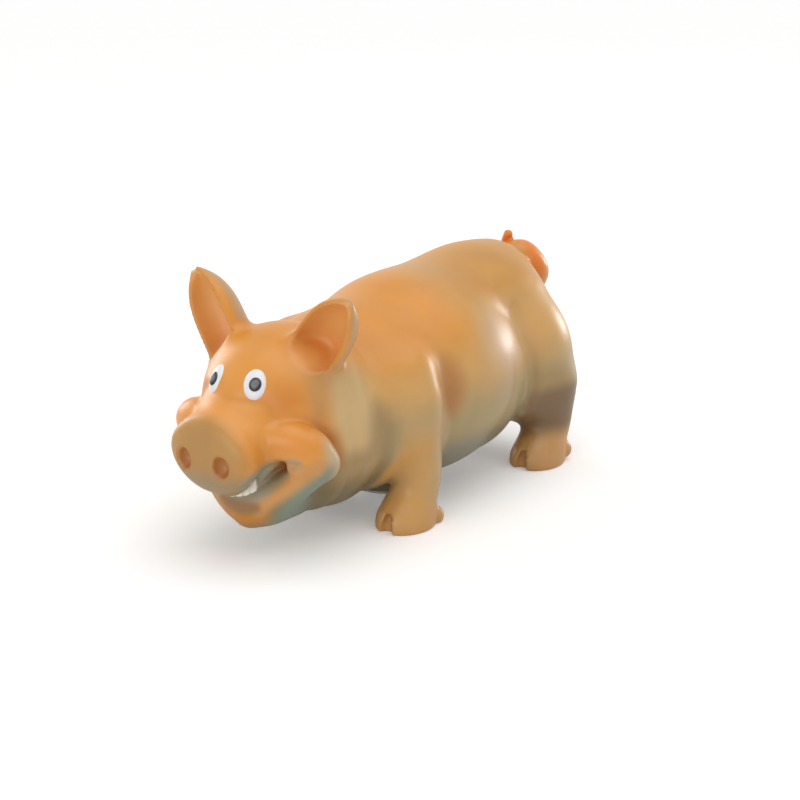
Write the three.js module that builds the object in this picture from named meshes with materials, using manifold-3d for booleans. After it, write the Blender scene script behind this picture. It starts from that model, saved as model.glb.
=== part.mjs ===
// A latex pig toy for dogs: a hollow skin on four trotters, stuffed with wadding,
// with a press grunter seated in the belly. Millimetres, +Z up, and the pig looks along -Y.
import * as THREE from 'three';
import { mergeVertices } from 'three/addons/utils/BufferGeometryUtils.js';
import Module from 'manifold-3d';

const wasm = await Module();
wasm.setup();

// Skin and fits
const WALL = 2.6;
const GAP = 0.3;

// Body, from the first neck roll to the rump
const BODY_FRONT = -76;
const BODY_LENGTH = 178.2;
const BODY_WIDTH = 91.4;
const BODY_HEIGHT = 88;
const BODY_CENTRE_HEIGHT = 50;
// Shares of the length, height, half width and half height: along, rise, width, height
const BODY_PROFILE = [
  [0, 0.057, 0.241, 0.227],
  [0.011, 0.055, 0.503, 0.455],
  [0.034, 0.032, 0.667, 0.648],
  [0.062, -0.005, 0.761, 0.759],
  [0.09, -0.011, 0.788, 0.823],
  [0.129, -0.018, 0.81, 0.839],
  [0.174, -0.023, 0.801, 0.832],
  [0.224, -0.013, 0.845, 0.855],
  [0.292, -0.009, 0.88, 0.891],
  [0.37, -0.003, 0.91, 0.916],
  [0.449, 0, 0.972, 0.973],
  [0.527, 0, 1, 1],
  [0.595, 0.007, 0.98, 0.995],
  [0.651, 0.031, 0.91, 0.968],
  [0.701, 0.059, 0.818, 0.939],
  [0.746, 0.077, 0.81, 0.923],
  [0.797, 0.074, 0.84, 0.936],
  [0.853, 0.073, 0.814, 0.9],
  [0.903, 0.07, 0.726, 0.805],
  [0.948, 0.072, 0.573, 0.632],
  [0.982, 0.072, 0.372, 0.409],
  [1, 0.072, 0.131, 0.145],
];

// Head, from the nape inside the body to the end of the muzzle, raised above the body's middle.
// The face is what stands before the body's front.
const NAPE_OVERLAP = 41;
const FACE_LENGTH = 28;
const HEAD_RAISE = 12;
const HEAD_WIDTH = 63;
const HEAD_HEIGHT = 57.8;
const HEAD_PROFILE = [
  [0, 0.017, 0.317, 0.311],
  [0.072, 0.017, 0.635, 0.606],
  [0.188, 0.017, 0.873, 0.83],
  [0.362, 0.009, 1, 0.979],
  [0.507, -0.009, 0.994, 1],
  [0.652, -0.035, 0.873, 0.927],
  [0.768, -0.087, 0.698, 0.813],
  [0.884, -0.17, 0.54, 0.657],
  [1, -0.234, 0.492, 0.547],
];

// Snout disc and nostrils
const SNOUT_WIDTH = 36;
const SNOUT_HEIGHT = 25.4;
const SNOUT_THICKNESS = 10;
const SNOUT_RIM_RADIUS = 3.2;
const SNOUT_TILT = 4;
const SNOUT_FORWARD = 1.6;
const SNOUT_DROP = 2.2;
const NOSTRIL_SPACING = 18.8;
const NOSTRIL_DROP = 1.5;
const NOSTRIL_WIDTH = 7.6;
const NOSTRIL_HEIGHT = 9.4;
const NOSTRIL_DEPTH = 3.6;
const NOSTRIL_TAPER = 0.5;

// Places on the head, left side: sideways, share of the face's length behind the muzzle's end,
// above the head's middle. Cheek and lower lip have a radius.
const CHEEK_ROLL = [
  [14, 0.5, -10.5, 8],
  [24, 0.61, -10, 8.4],
  [30.5, 0.75, -13, 8.1],
  [32.5, 0.88, -19, 7.2],
  [31.5, 0.97, -24, 4],
];
const LIP_ROLL = [
  [33, 0.93, -14, 4],
  [32.5, 0.88, -19, 7.2],
  [22, 0.75, -30, 6.9],
  [9.5, 0.66, -40.5, 6.9],
  [0, 0.63, -44, 7.2],
];
const JAW_CENTRE = [0, 1.14, -35];
const JAW_RADII = [23.5, 18.5, 16.5];
const UPPER_LIP_CENTRE = [0, 0.32, -24];
const UPPER_LIP_RADII = [13.5, 10.5, 10.5];

// Open mouth and teeth, with half the height and half the depth of the slit and of the strip
const MOUTH_SLIT = [
  [33, 0.68, -16.5, 1, 4],
  [27, 0.55, -19.5, 2.6, 5.5],
  [19, 0.46, -25.5, 4.6, 7.5],
  [10, 0.43, -33, 4.2, 6.5],
  [0, 0.36, -35, 3.2, 6],
];
const TEETH_ROW = [
  [16, 0.46, -25, 2.6, 1.3],
  [8, 0.34, -30.6, 2.6, 1.3],
  [0, 0.27, -32.4, 2.6, 1.3],
];

// Eyes
const EYE_SPACING = 20.6;
const EYE_RISE = 12;
const EYE_WIDTH = 9.4;
const EYE_HEIGHT = 12;
const EYE_DEPTH = 4.4;
const EYE_PROUD = 0.5;
const PUPIL_WIDTH = 4.4;
const PUPIL_HEIGHT = 5;
const PUPIL_DEPTH = 2;

// Ears: pointed hoods, open to the front. The right one swings out a little further.
const EAR_STATION = 1.25;
const EAR_TURN = 52;
const EAR_DIRECTION = [19.6, -2, 22.5];
const EAR_LENGTH = 29.4;
const EAR_ROOT_DEPTH = 8;
const EAR_RADIUS = 9.6;
const EAR_HALF_THICKNESS = 1.4;
const EAR_TAPER = 2.5;
const EAR_TIP_RADIUS = 0.9;
const EAR_OPENING = { left: 112, right: 98 };
const EAR_SWING = { left: 0, right: 12 };

// Legs and trotters; the legs are placed from the foot: sideways, rearwards, height, half sizes
const FOOT_INSET = 14.7;
const FORE_FOOT_BEHIND_FRONT = 52;
const HIND_FOOT_BEFORE_RUMP = 29.2;
const HOOF_WIDTH = 23.2;
const HOOF_LENGTH = 27;
const HOOF_HEIGHT = 14;
// Rearward shift of each level of the hoof, then shares of its height, width and length
const HOOF_PROFILE = [
  [1.5, 1, 0.8, 0.75],
  [0.5, 0.65, 0.96, 0.93],
  [-1, 0.3, 1, 1],
  [-1, 0, 0.93, 0.93],
];
const CLEFT_WIDTH = 4.4;
const CLEFT_LENGTH = 9;
const DEWCLAW_SPACING = 15;
const DEWCLAW_RADII = [3, 3, 4.2];
const DEWCLAW_BACK_SHARE = 0.7;
const DEWCLAW_HEIGHT_SHARE = 0.4;
const FORE_LEG = [
  [-8, -2, 77, 5, 7],
  [0, -2, 57, 13.2, 14],
  [1, 1.5, 40, 12, 12.4],
  [1, 3.5, 24, 10.5, 10.6],
  [0, 2.5, 10, 10.2, 10.8],
];
const HIND_LEG = [
  [-9, -2, 70, 9, 14],
  [-4.5, 0, 52, 14.6, 21],
  [-2.5, 4.5, 36, 14.2, 16],
  [-0.5, 6, 22, 11, 11.4],
  [0, 3.5, 10, 10.6, 11],
];

// Curled tail: sideways, behind its root, above the back at its root, and radius
const TAIL_BEFORE_RUMP = 14.2;
const TAIL_LEAN = [-0.2, 0.9, 0.4];
const TAIL_CURL = [
  [0, 0, -7.4, 8],
  [3, 11.5, -3.6, 7.4],
  [6, 16.6, -10.4, 6.7],
  [1, 17.7, -17.4, 5.6],
  [-7, 16, -15.6, 4.9],
  [-11, 12.5, -8.6, 4.1],
  [-9.8, 11, -1.4, 3.2],
  [-9.2, 10.5, 3.8, 1.9],
];

// Grunter in the belly
const GRUNTER_BEHIND_FRONT = 79;
const HOLE_RADIUS = 14;
const COLLAR_RADIUS = 19.5;
const COLLAR_DROP = 1.5;
const COLLAR_STAND = 1.4;
const BASE_THICKNESS = 2.4;
const SPIGOT_WALL = 2.2;
const AIR_PORT_RADIUS = 3;
const GRILLE_RADIUS = 17;
const GRILLE_THICKNESS = 1.6;
const GRILLE_PLUG_WALL = 2;
const GRILLE_PLUG_HEIGHT = 3.2;
const GRILLE_SLOTS = 5;
const GRILLE_SLOT_WIDTH = 1.8;
const BELLOWS_RADIUS = 18.5;
const BELLOWS_HEIGHT = 26;
const BELLOWS_FOLDS = 5;
const BELLOWS_FOLD_DEPTH = 2.6;
const BELLOWS_WALL = 0.9;
const PLATE_THICKNESS = 2;
const PLATE_CROWN = 2.4;
const SPRING_RADIUS = 12.5;
const SPRING_WIRE = 1.2;
const SPRING_TURNS = 6;
const REED_BLOCK = [9, 17, 3];
const REED_SLOT = [3.6, 11];
const REED_WIDTH = 2.8;
const REED_THICKNESS = 0.4;
const REED_LENGTH = 13.5;
const REED_CLAMP_LENGTH = 3.5;
const REED_CLAMP_THICKNESS = 1.6;

// Fineness of the surfaces
const BODY_RINGS = 26;
const BODY_SIDES = 20;
const INNER_RINGS = 13;
const INNER_SIDES = 12;
const HEAD_RINGS = 13;
const HEAD_SIDES = 18;
const CAVITY_RINGS = 8;
const JOWL_SIDES = 10;
const ROLL_RINGS = 6;
const ROLL_SIDES = 8;
const MOUTH_RINGS = 10;
const SNOUT_SIDES = 20;
const RIM_STEPS = 2;
const NOSTRIL_RINGS = 4;
const TEETH_SIDES = 6;
const LEG_RINGS = 6;
const LEG_SIDES = 12;
const HOOF_RINGS = 4;
const EAR_RINGS = 8;
const EAR_SIDES = 16;
const TAIL_RINGS = 20;
const TAIL_SIDES = 8;
const BALL_SIDES = 12;
const DEWCLAW_SIDES = 6;
const ROUND = 24;
const SLOT_ARC_STEPS = 5;
const CROWN_STEPS = 5;
const SPRING_STEPS = 8;
const SPRING_SIDES = 5;
const SEARCH_STEPS = 40;
const SLOPE_STEP = 0.2;

const Y = new THREE.Vector3(0, 1, 0);
const Z = new THREE.Vector3(0, 0, 1);
const point = ([x, y, z]) => new THREE.Vector3(x, y, z);
const mirrored = (rows) => [...rows, ...rows.slice(0, -1).reverse().map(([x, ...rest]) => [-x, ...rest])];
const flipped = (rows) => rows.map(([x, ...rest]) => [-x, ...rest]);

// A closed geometry made a solid: shared corners merged, flat faces dropped, faces turned outwards.
function solid(geometry) {
  geometry.deleteAttribute('normal');
  geometry.deleteAttribute('uv');
  const merged = mergeVertices(geometry, 1e-4);
  const corners = merged.attributes.position;
  const faces = [];
  let volume = 0;
  const [a, b, c] = [new THREE.Vector3(), new THREE.Vector3(), new THREE.Vector3()];
  for (let i = 0; i < merged.index.count; i += 3) {
    const face = [0, 1, 2].map((k) => merged.index.getX(i + k));
    if (new Set(face).size < 3) continue;
    a.fromBufferAttribute(corners, face[0]);
    b.fromBufferAttribute(corners, face[1]);
    c.fromBufferAttribute(corners, face[2]);
    volume += a.dot(b.cross(c));
    faces.push(face);
  }
  const outward = volume > 0 ? faces : faces.map(([p, q, r]) => [p, r, q]);
  return new wasm.Manifold(new wasm.Mesh({
    numProp: 3,
    vertProperties: new Float32Array(corners.array),
    triVerts: new Uint32Array(outward.flat()),
  }));
}

// A skin over rings of points. A full ring is closed by a fan, and a crescent, whose second half runs
// back inside the first, by a strip.
function skin(rings, crescent = false) {
  const sides = rings[0].length;
  const corners = rings.flat();
  const ends = [rings[0], rings.at(-1)].map((ring) => {
    const middle = new THREE.Vector3();
    ring.forEach((p) => middle.addScaledVector(p, 1 / sides));
    return middle;
  });
  const faces = [];
  for (let s = 0; s < sides; s += 1) {
    const next = (s + 1) % sides;
    for (let r = 0; r + 1 < rings.length; r += 1) {
      const [low, high] = [r * sides, (r + 1) * sides];
      faces.push(low + s, low + next, high + next, low + s, high + next, high + s);
    }
    const last = (rings.length - 1) * sides;
    if (!crescent) faces.push(corners.length, next, s, corners.length + 1, last + s, last + next);
    else if (s < sides / 2 - 1) {
      const [facing, beyond] = [sides - 1 - s, sides - 2 - s];
      faces.push(next, s, facing, next, facing, beyond);
      faces.push(last + s, last + next, last + facing, last + next, last + beyond, last + facing);
    }
  }
  const geometry = new THREE.BufferGeometry().setFromPoints(crescent ? corners : [...corners, ...ends]);
  geometry.setIndex(faces);
  return geometry;
}

// A form that swells and tapers: oval rings along a smooth spine, square to it or to a given way.
function swelling(points, halves, { rings, sides, hint = Z, facing }) {
  const spine = new THREE.CatmullRomCurve3(points, false, 'catmullrom', 0.5);
  const girth = new THREE.CatmullRomCurve3(
    halves.map(([across, along]) => new THREE.Vector3(across, along, 0)), false, 'catmullrom', 0.5);
  const made = [];
  for (let r = 0; r <= rings; r += 1) {
    const centre = spine.getPoint(r / rings);
    const tangent = facing ?? spine.getTangent(r / rings);
    const half = girth.getPoint(r / rings);
    const across = new THREE.Vector3().crossVectors(tangent, hint).normalize();
    const along = new THREE.Vector3().crossVectors(across, tangent);
    made.push(Array.from({ length: sides }, (_, s) => {
      const turn = 2 * Math.PI * s / sides;
      return centre.clone()
        .addScaledVector(across, half.x * Math.cos(turn))
        .addScaledVector(along, half.y * Math.sin(turn));
    }));
  }
  return solid(skin(made));
}

// Rows of x, y, z and half sizes as a swelling form, grown or shrunk all round.
function flesh(rows, { grow = 0, ...detail }) {
  const points = rows.map(point);
  const middle = points[0].clone().add(points.at(-1)).multiplyScalar(0.5);
  const stretch = 1 + 2 * grow / points[0].distanceTo(points.at(-1));
  const spine = points.map((p) => p.sub(middle).multiplyScalar(stretch).add(middle));
  const halves = rows.map(([, , , across, along = across]) => [across + grow, along + grow]);
  return swelling(spine, halves, detail);
}

function ovoid(centre, radii, sides = BALL_SIDES) {
  const ball = new THREE.SphereGeometry(1, sides, sides / 2);
  return ball.scale(...radii).translate(...centre);
}

function upright(radius, low, high, top = radius) {
  const drum = new THREE.CylinderGeometry(top, radius, high - low, ROUND);
  return solid(drum.rotateX(Math.PI / 2).translate(0, grunterAt, (low + high) / 2));
}

function block([width, length, height], x, y, low) {
  return solid(new THREE.BoxGeometry(width, length, height).translate(x, y, low + height / 2));
}

function turned(profile) {
  const lathe = new THREE.LatheGeometry(profile.map(([r, h]) => new THREE.Vector2(r, h)), ROUND);
  return solid(lathe.rotateX(Math.PI / 2).translate(0, grunterAt, 0));
}

// Places that the pieces share
const rump = BODY_FRONT + BODY_LENGTH;
const grunterAt = BODY_FRONT + GRUNTER_BEHIND_FRONT;
const headBack = BODY_FRONT + NAPE_OVERLAP;
const headLength = NAPE_OVERLAP + FACE_LENGTH;
const muzzle = headBack - headLength;
const headHeight = BODY_CENTRE_HEIGHT + HEAD_RAISE;
const onHead = (rows) => rows.map(([x, back, rise, ...half]) => [
  x, muzzle + back * FACE_LENGTH, headHeight + rise, ...half,
]);

// Body and head as rows of the same kind, worked out from their sizes and profiles
const bodyRows = BODY_PROFILE.map(([along, rise, width, height]) => [
  0, BODY_FRONT + along * BODY_LENGTH, BODY_CENTRE_HEIGHT + rise * BODY_HEIGHT,
  width * BODY_WIDTH / 2, height * BODY_HEIGHT / 2,
]);
const headRows = HEAD_PROFILE.map(([along, rise, width, height]) => [
  0, headBack - along * headLength, headHeight + rise * HEAD_HEIGHT,
  width * HEAD_WIDTH / 2, height * HEAD_HEIGHT / 2,
]);
function bodyForm(grow, rings = BODY_RINGS, sides = BODY_SIDES) {
  return flesh(bodyRows, { grow, rings, sides, facing: Y });
}
function headForm(grow) {
  return flesh(headRows, { grow, rings: HEAD_RINGS, sides: HEAD_SIDES, facing: Y });
}

// Height and half sizes of a form at a place along the pig.
function sectionAt(rows, y) {
  const spine = new THREE.CatmullRomCurve3(rows.map(point), false, 'catmullrom', 0.5);
  const girth = new THREE.CatmullRomCurve3(
    rows.map(([, , , a, c]) => new THREE.Vector3(a, c, 0)), false, 'catmullrom', 0.5);
  const forward = Math.sign(rows.at(-1)[1] - rows[0][1]);
  let [low, high] = [0, 1];
  for (let i = 0; i < SEARCH_STEPS; i += 1) {
    const t = (low + high) / 2;
    if ((spine.getPoint(t).y - y) * forward < 0) low = t;
    else high = t;
  }
  const half = girth.getPoint(low);
  return { height: spine.getPoint(low).z, across: half.x, upward: half.y };
}

// The point of the face in front of a place on it, and the way the face looks there.
function faceAt(x, z) {
  const outside = (px, py, pz) => {
    const section = sectionAt(headRows, py);
    return (px / section.across) ** 2 + ((pz - section.height) / section.upward) ** 2 - 1;
  };
  let [inner, outer] = [muzzle + headLength / 2, muzzle];
  for (let i = 0; i < SEARCH_STEPS; i += 1) {
    const y = (inner + outer) / 2;
    if (outside(x, y, z) < 0) inner = y;
    else outer = y;
  }
  const looks = new THREE.Vector3(
    outside(x + SLOPE_STEP, inner, z) - outside(x - SLOPE_STEP, inner, z),
    outside(x, inner + SLOPE_STEP, z) - outside(x, inner - SLOPE_STEP, z),
    outside(x, inner, z + SLOPE_STEP) - outside(x, inner, z - SLOPE_STEP));
  return { place: new THREE.Vector3(x, inner, z), looks: looks.normalize() };
}

// Belly levels that the skin and the grunter share
const belly = sectionAt(bodyRows, grunterAt);
const collarLow = belly.height - belly.upward - COLLAR_DROP;
const rimShare = COLLAR_RADIUS / (belly.across - WALL);
const rimRise = (belly.upward - WALL) * Math.sqrt(1 - rimShare ** 2);
const collarHigh = belly.height - rimRise + COLLAR_STAND;
const baseLow = collarHigh + GAP;
const baseHigh = baseLow + BASE_THICKNESS;
const plateLow = baseHigh + BELLOWS_HEIGHT + 2 * GAP;
const plateHigh = plateLow + PLATE_THICKNESS + PLATE_CROWN;
const spigotRadius = HOLE_RADIUS - GAP;
const spigotBore = spigotRadius - SPIGOT_WALL;

function torsoSkin() {
  const collar = upright(COLLAR_RADIUS, collarLow, collarHigh);
  const hole = upright(HOLE_RADIUS, collarLow - WALL, collarHigh + WALL);
  return bodyForm(0).subtract(bodyForm(-WALL, INNER_RINGS, INNER_SIDES)).add(collar).subtract(hole);
}

function torsoFilling() {
  const pocket = upright(COLLAR_RADIUS + 2 * GAP, 0, plateHigh + GAP);
  return bodyForm(-WALL - GAP, INNER_RINGS, INNER_SIDES).subtract(pocket);
}

function snoutDisc() {
  const [, y, z] = headRows.at(-1);
  const [radius, half] = [SNOUT_HEIGHT / 2, SNOUT_THICKNESS / 2];
  const rim = Array.from({ length: RIM_STEPS + 1 }, (_, i) => {
    const turn = Math.PI / 2 * i / RIM_STEPS;
    return [radius - SNOUT_RIM_RADIUS * (1 - Math.sin(turn)), half - SNOUT_RIM_RADIUS * (1 - Math.cos(turn))];
  });
  const profile = [[0, half], ...rim, ...rim.toReversed().map(([r, h]) => [r, -h]), [0, -half]];
  const disc = new THREE.LatheGeometry(profile.map(([r, h]) => new THREE.Vector2(r, h)), SNOUT_SIDES);
  disc.scale(SNOUT_WIDTH / SNOUT_HEIGHT, 1, 1).rotateX(THREE.MathUtils.degToRad(SNOUT_TILT));
  return solid(disc.translate(0, y - SNOUT_FORWARD, z - SNOUT_DROP));
}

function nostril(side) {
  const [, y, z] = headRows.at(-1);
  const front = y - SNOUT_FORWARD - SNOUT_THICKNESS / 2;
  const [x, low] = [side * NOSTRIL_SPACING / 2, z - SNOUT_DROP - NOSTRIL_DROP];
  const mouth = [NOSTRIL_WIDTH / 2, NOSTRIL_HEIGHT / 2];
  return flesh([
    [x, front - NOSTRIL_DEPTH, low, ...mouth],
    [x, front, low, ...mouth],
    [x, front + NOSTRIL_DEPTH, low, ...mouth.map((half) => half * NOSTRIL_TAPER)],
  ], { rings: NOSTRIL_RINGS, sides: ROLL_SIDES });
}

const roll = (rows, rings = ROLL_RINGS) => flesh(rows, { rings, sides: ROLL_SIDES, hint: Y });

// The eye lies on the face, half sunk, and the pupil on the eye.
function eyeball(side, grow = 0) {
  const { place, looks } = faceAt(side * EYE_SPACING / 2, headHeight + EYE_RISE);
  const ball = ovoid([0, 0, 0], [EYE_WIDTH / 2 + grow, EYE_DEPTH / 2 + grow, EYE_HEIGHT / 2 + grow]);
  const turn = new THREE.Quaternion().setFromUnitVectors(Y.clone().negate(), looks);
  const centre = place.clone().addScaledVector(looks, EYE_PROUD);
  return { shape: solid(ball.applyQuaternion(turn).translate(...centre)), centre, looks, turn };
}

function pupilball(side, grow = 0) {
  const { centre, looks, turn } = eyeball(side);
  const ball = ovoid([0, 0, 0], [PUPIL_WIDTH / 2 + grow, PUPIL_DEPTH / 2 + grow, PUPIL_HEIGHT / 2 + grow]);
  const middle = centre.clone().addScaledVector(looks, EYE_DEPTH / 2);
  return solid(ball.applyQuaternion(turn).translate(...middle));
}

function teethRow(grow = 0) {
  return flesh(mirrored(onHead(TEETH_ROW)), { grow, rings: MOUTH_RINGS, sides: TEETH_SIDES, hint: Y });
}

function headSkin() {
  const [jaw, lip] = onHead([JAW_CENTRE, UPPER_LIP_CENTRE]);
  const cheek = onHead(CHEEK_ROLL);
  let head = headForm(0).add(snoutDisc()).add(solid(ovoid(jaw, JAW_RADII, JOWL_SIDES)));
  head = head.add(solid(ovoid(lip, UPPER_LIP_RADII, JOWL_SIDES)));
  head = head.add(roll(mirrored(onHead(LIP_ROLL)), 2 * ROLL_RINGS));
  head = head.add(roll(cheek)).add(roll(flipped(cheek)));
  head = head.subtract(roll(mirrored(onHead(MOUTH_SLIT)), MOUTH_RINGS)).subtract(teethRow(GAP));
  head = head.subtract(nostril(1)).subtract(nostril(-1));
  head = head.subtract(eyeball(1, GAP).shape).subtract(eyeball(-1, GAP).shape);
  return head.subtract(headCavity(-WALL)).subtract(bodyForm(GAP));
}

// The hollow of the head stops short of the muzzle's end.
function headCavity(grow) {
  return flesh(headRows.slice(0, -1), { grow, rings: CAVITY_RINGS, sides: INNER_SIDES, facing: Y });
}

function headFilling() {
  return headCavity(-WALL - GAP).subtract(bodyForm(GAP + GAP));
}

// A pointed hood: crescent sections from the root inside the head to the tip.
function ear(side, opening, swing) {
  const station = muzzle + EAR_STATION * FACE_LENGTH;
  const head = sectionAt(headRows, station);
  const angle = THREE.MathUtils.degToRad(EAR_TURN);
  const root = point([head.across * Math.cos(angle), station, head.height + head.upward * Math.sin(angle)]);
  const up = point(EAR_DIRECTION).normalize();
  const front = Y.clone().negate().addScaledVector(up, up.y).normalize();
  front.applyAxisAngle(up, THREE.MathUtils.degToRad(swing));
  const across = new THREE.Vector3().crossVectors(up, front);
  const half = EAR_SIDES / 2;
  const rings = Array.from({ length: EAR_RINGS + 1 }, (_, r) => {
    const height = -EAR_ROOT_DEPTH + (EAR_LENGTH + EAR_ROOT_DEPTH) * r / EAR_RINGS;
    const taper = 1 - Math.max(0, height / EAR_LENGTH) ** EAR_TAPER;
    const radius = EAR_TIP_RADIUS + (EAR_RADIUS - EAR_TIP_RADIUS) * taper;
    const wall = EAR_HALF_THICKNESS * (1 + taper) / 2;
    return Array.from({ length: EAR_SIDES }, (_, s) => {
      const outside = s < half;
      const share = (outside ? s : EAR_SIDES - 1 - s) / (half - 1);
      const turn = THREE.MathUtils.degToRad(opening) * (2 * share - 1);
      const around = radius + (outside ? wall : -wall);
      return root.clone()
        .addScaledVector(up, height)
        .addScaledVector(across, around * Math.sin(turn))
        .addScaledVector(front, -around * Math.cos(turn))
        .multiply(new THREE.Vector3(side, 1, 1));
    });
  });
  return solid(skin(rings, true)).subtract(headForm(GAP));
}

// A trotter with a flat sole, a cleft between two toes and a pair of dewclaws.
function trotter(x, y) {
  const [across, along] = [HOOF_WIDTH / 2, HOOF_LENGTH / 2];
  const levels = HOOF_PROFILE.map(([back, rise, width, length]) => [
    x, y + back, rise * HOOF_HEIGHT, width * across, length * along,
  ]);
  let hoof = flesh(levels, { rings: HOOF_RINGS, sides: LEG_SIDES, hint: Y });
  for (const side of [-1, 1]) {
    const outward = x + side * DEWCLAW_SPACING / 2;
    const claw = [outward, y + DEWCLAW_BACK_SHARE * along, DEWCLAW_HEIGHT_SHARE * HOOF_HEIGHT];
    hoof = hoof.add(solid(ovoid(claw, DEWCLAW_RADII, DEWCLAW_SIDES)));
  }
  const toe = levels.at(-1)[1] - along;
  const cleft = new THREE.Shape([
    new THREE.Vector2(x - CLEFT_WIDTH, toe - CLEFT_LENGTH),
    new THREE.Vector2(x + CLEFT_WIDTH, toe - CLEFT_LENGTH),
    new THREE.Vector2(x, toe + CLEFT_LENGTH),
  ]);
  const wedge = new THREE.ExtrudeGeometry(cleft, { depth: 2 * HOOF_HEIGHT, bevelEnabled: false });
  const lean = Math.atan2(CLEFT_LENGTH, HOOF_HEIGHT);
  wedge.translate(0, -toe - CLEFT_LENGTH, -HOOF_HEIGHT).rotateX(-lean).translate(0, toe + CLEFT_LENGTH, 0);
  return hoof.subtract(solid(wedge));
}

// A hollow leg on its trotter, seated against the body.
function leg(side, foot, rows) {
  const x = side * (BODY_WIDTH / 2 - FOOT_INSET);
  const placed = rows.map(([out, back, z, ...half]) => [x + side * out, foot + back, z, ...half]);
  const detail = { rings: LEG_RINGS, sides: LEG_SIDES, hint: Y };
  const limb = flesh(placed, detail).add(trotter(x, foot));
  return limb.subtract(flesh(placed, { grow: -WALL, ...detail })).subtract(bodyForm(GAP));
}

function tail() {
  const root = rump - TAIL_BEFORE_RUMP;
  const section = sectionAt(bodyRows, root);
  const back = section.height + section.upward;
  const curl = TAIL_CURL.map(([x, behind, above, radius]) => [x, root + behind, back + above, radius]);
  const detail = { rings: TAIL_RINGS, sides: TAIL_SIDES, hint: point(TAIL_LEAN) };
  return flesh(curl, detail).subtract(bodyForm(GAP));
}

function bellowsBase() {
  const flange = upright(COLLAR_RADIUS, baseLow, baseHigh);
  const spigot = upright(spigotRadius, collarLow, baseHigh).subtract(upright(spigotBore, 0, baseLow));
  return flange.add(spigot).subtract(upright(AIR_PORT_RADIUS, 0, baseHigh + WALL));
}

function soundGrille() {
  const top = collarLow - GAP;
  const bottom = top - GRILLE_THICKNESS;
  const plugRadius = spigotBore - GAP;
  const bore = upright(plugRadius - GRILLE_PLUG_WALL, top, top + 2 * GRILLE_PLUG_HEIGHT);
  const plug = upright(plugRadius, top - GRILLE_THICKNESS / 2, top + GRILLE_PLUG_HEIGHT).subtract(bore);
  let grille = upright(GRILLE_RADIUS - GRILLE_THICKNESS / 2, bottom, top, GRILLE_RADIUS).add(plug);
  const pitch = 2 * (plugRadius - GRILLE_PLUG_WALL) / (GRILLE_SLOTS + 1);
  for (let i = 0; i < GRILLE_SLOTS; i += 1) {
    const x = pitch * (i - (GRILLE_SLOTS - 1) / 2);
    const reach = Math.sqrt((plugRadius - GRILLE_PLUG_WALL) ** 2 - x ** 2) - GRILLE_SLOT_WIDTH;
    const slot = new THREE.Shape();
    slot.absarc(x, grunterAt + reach - GRILLE_SLOT_WIDTH / 2, GRILLE_SLOT_WIDTH / 2, 0, Math.PI);
    slot.absarc(x, grunterAt - reach + GRILLE_SLOT_WIDTH / 2, GRILLE_SLOT_WIDTH / 2, Math.PI, 2 * Math.PI);
    const through = { depth: 3 * GRILLE_THICKNESS, bevelEnabled: false, curveSegments: SLOT_ARC_STEPS };
    const cut = new THREE.ExtrudeGeometry(slot, through);
    grille = grille.subtract(solid(cut.translate(0, 0, bottom - GRILLE_THICKNESS)));
  }
  return grille;
}

function bellows() {
  const [low, high] = [baseHigh + GAP, plateLow - GAP];
  const outside = Array.from({ length: 2 * BELLOWS_FOLDS + 1 }, (_, i) => [
    BELLOWS_RADIUS - (i % 2 ? 0 : BELLOWS_FOLD_DEPTH),
    low + (high - low) * i / (2 * BELLOWS_FOLDS),
  ]);
  const inside = outside.toReversed().map(([r, h]) => [r - BELLOWS_WALL, h]);
  return turned([...outside, ...inside, outside[0]]);
}

function pressPlate() {
  const crown = Array.from({ length: CROWN_STEPS + 1 }, (_, i) => [
    BELLOWS_RADIUS * Math.cos(Math.PI / 2 * i / CROWN_STEPS),
    plateLow + PLATE_THICKNESS + PLATE_CROWN * Math.sin(Math.PI / 2 * i / CROWN_STEPS),
  ]);
  return turned([[0, plateLow], [BELLOWS_RADIUS, plateLow], ...crown]);
}

// One wire wound as a helix; its least gap to itself is measured between turns and printed.
function returnSpring() {
  const steps = SPRING_STEPS * SPRING_TURNS;
  const low = baseHigh + GAP + SPRING_WIRE / 2;
  const high = plateLow - GAP - SPRING_WIRE / 2;
  const wire = Array.from({ length: steps + 1 }, (_, i) => {
    const turn = 2 * Math.PI * i / SPRING_STEPS;
    const [x, y] = [SPRING_RADIUS * Math.cos(turn), SPRING_RADIUS * Math.sin(turn)];
    return new THREE.Vector3(x, grunterAt + y, low + (high - low) * i / steps);
  });
  let least = Infinity;
  wire.forEach((p, i) => wire.slice(i + SPRING_STEPS / 2 + 1).forEach((q) => {
    least = Math.min(least, p.distanceTo(q) - SPRING_WIRE);
  }));
  console.log(`return spring: least gap to itself ${least.toFixed(2)} mm`);
  const halves = wire.map(() => [SPRING_WIRE / 2, SPRING_WIRE / 2]);
  return swelling(wire, halves, { rings: steps, sides: SPRING_SIDES });
}

// The reed lies over the slot of its block, held at one end under the clamp.
const blockLow = baseHigh + GAP;
const reedLow = blockLow + REED_BLOCK[2] + GAP;
const clampLow = reedLow + REED_THICKNESS + 2 * GAP;
const reedRoot = grunterAt + REED_BLOCK[1] / 2 - GAP;

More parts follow.
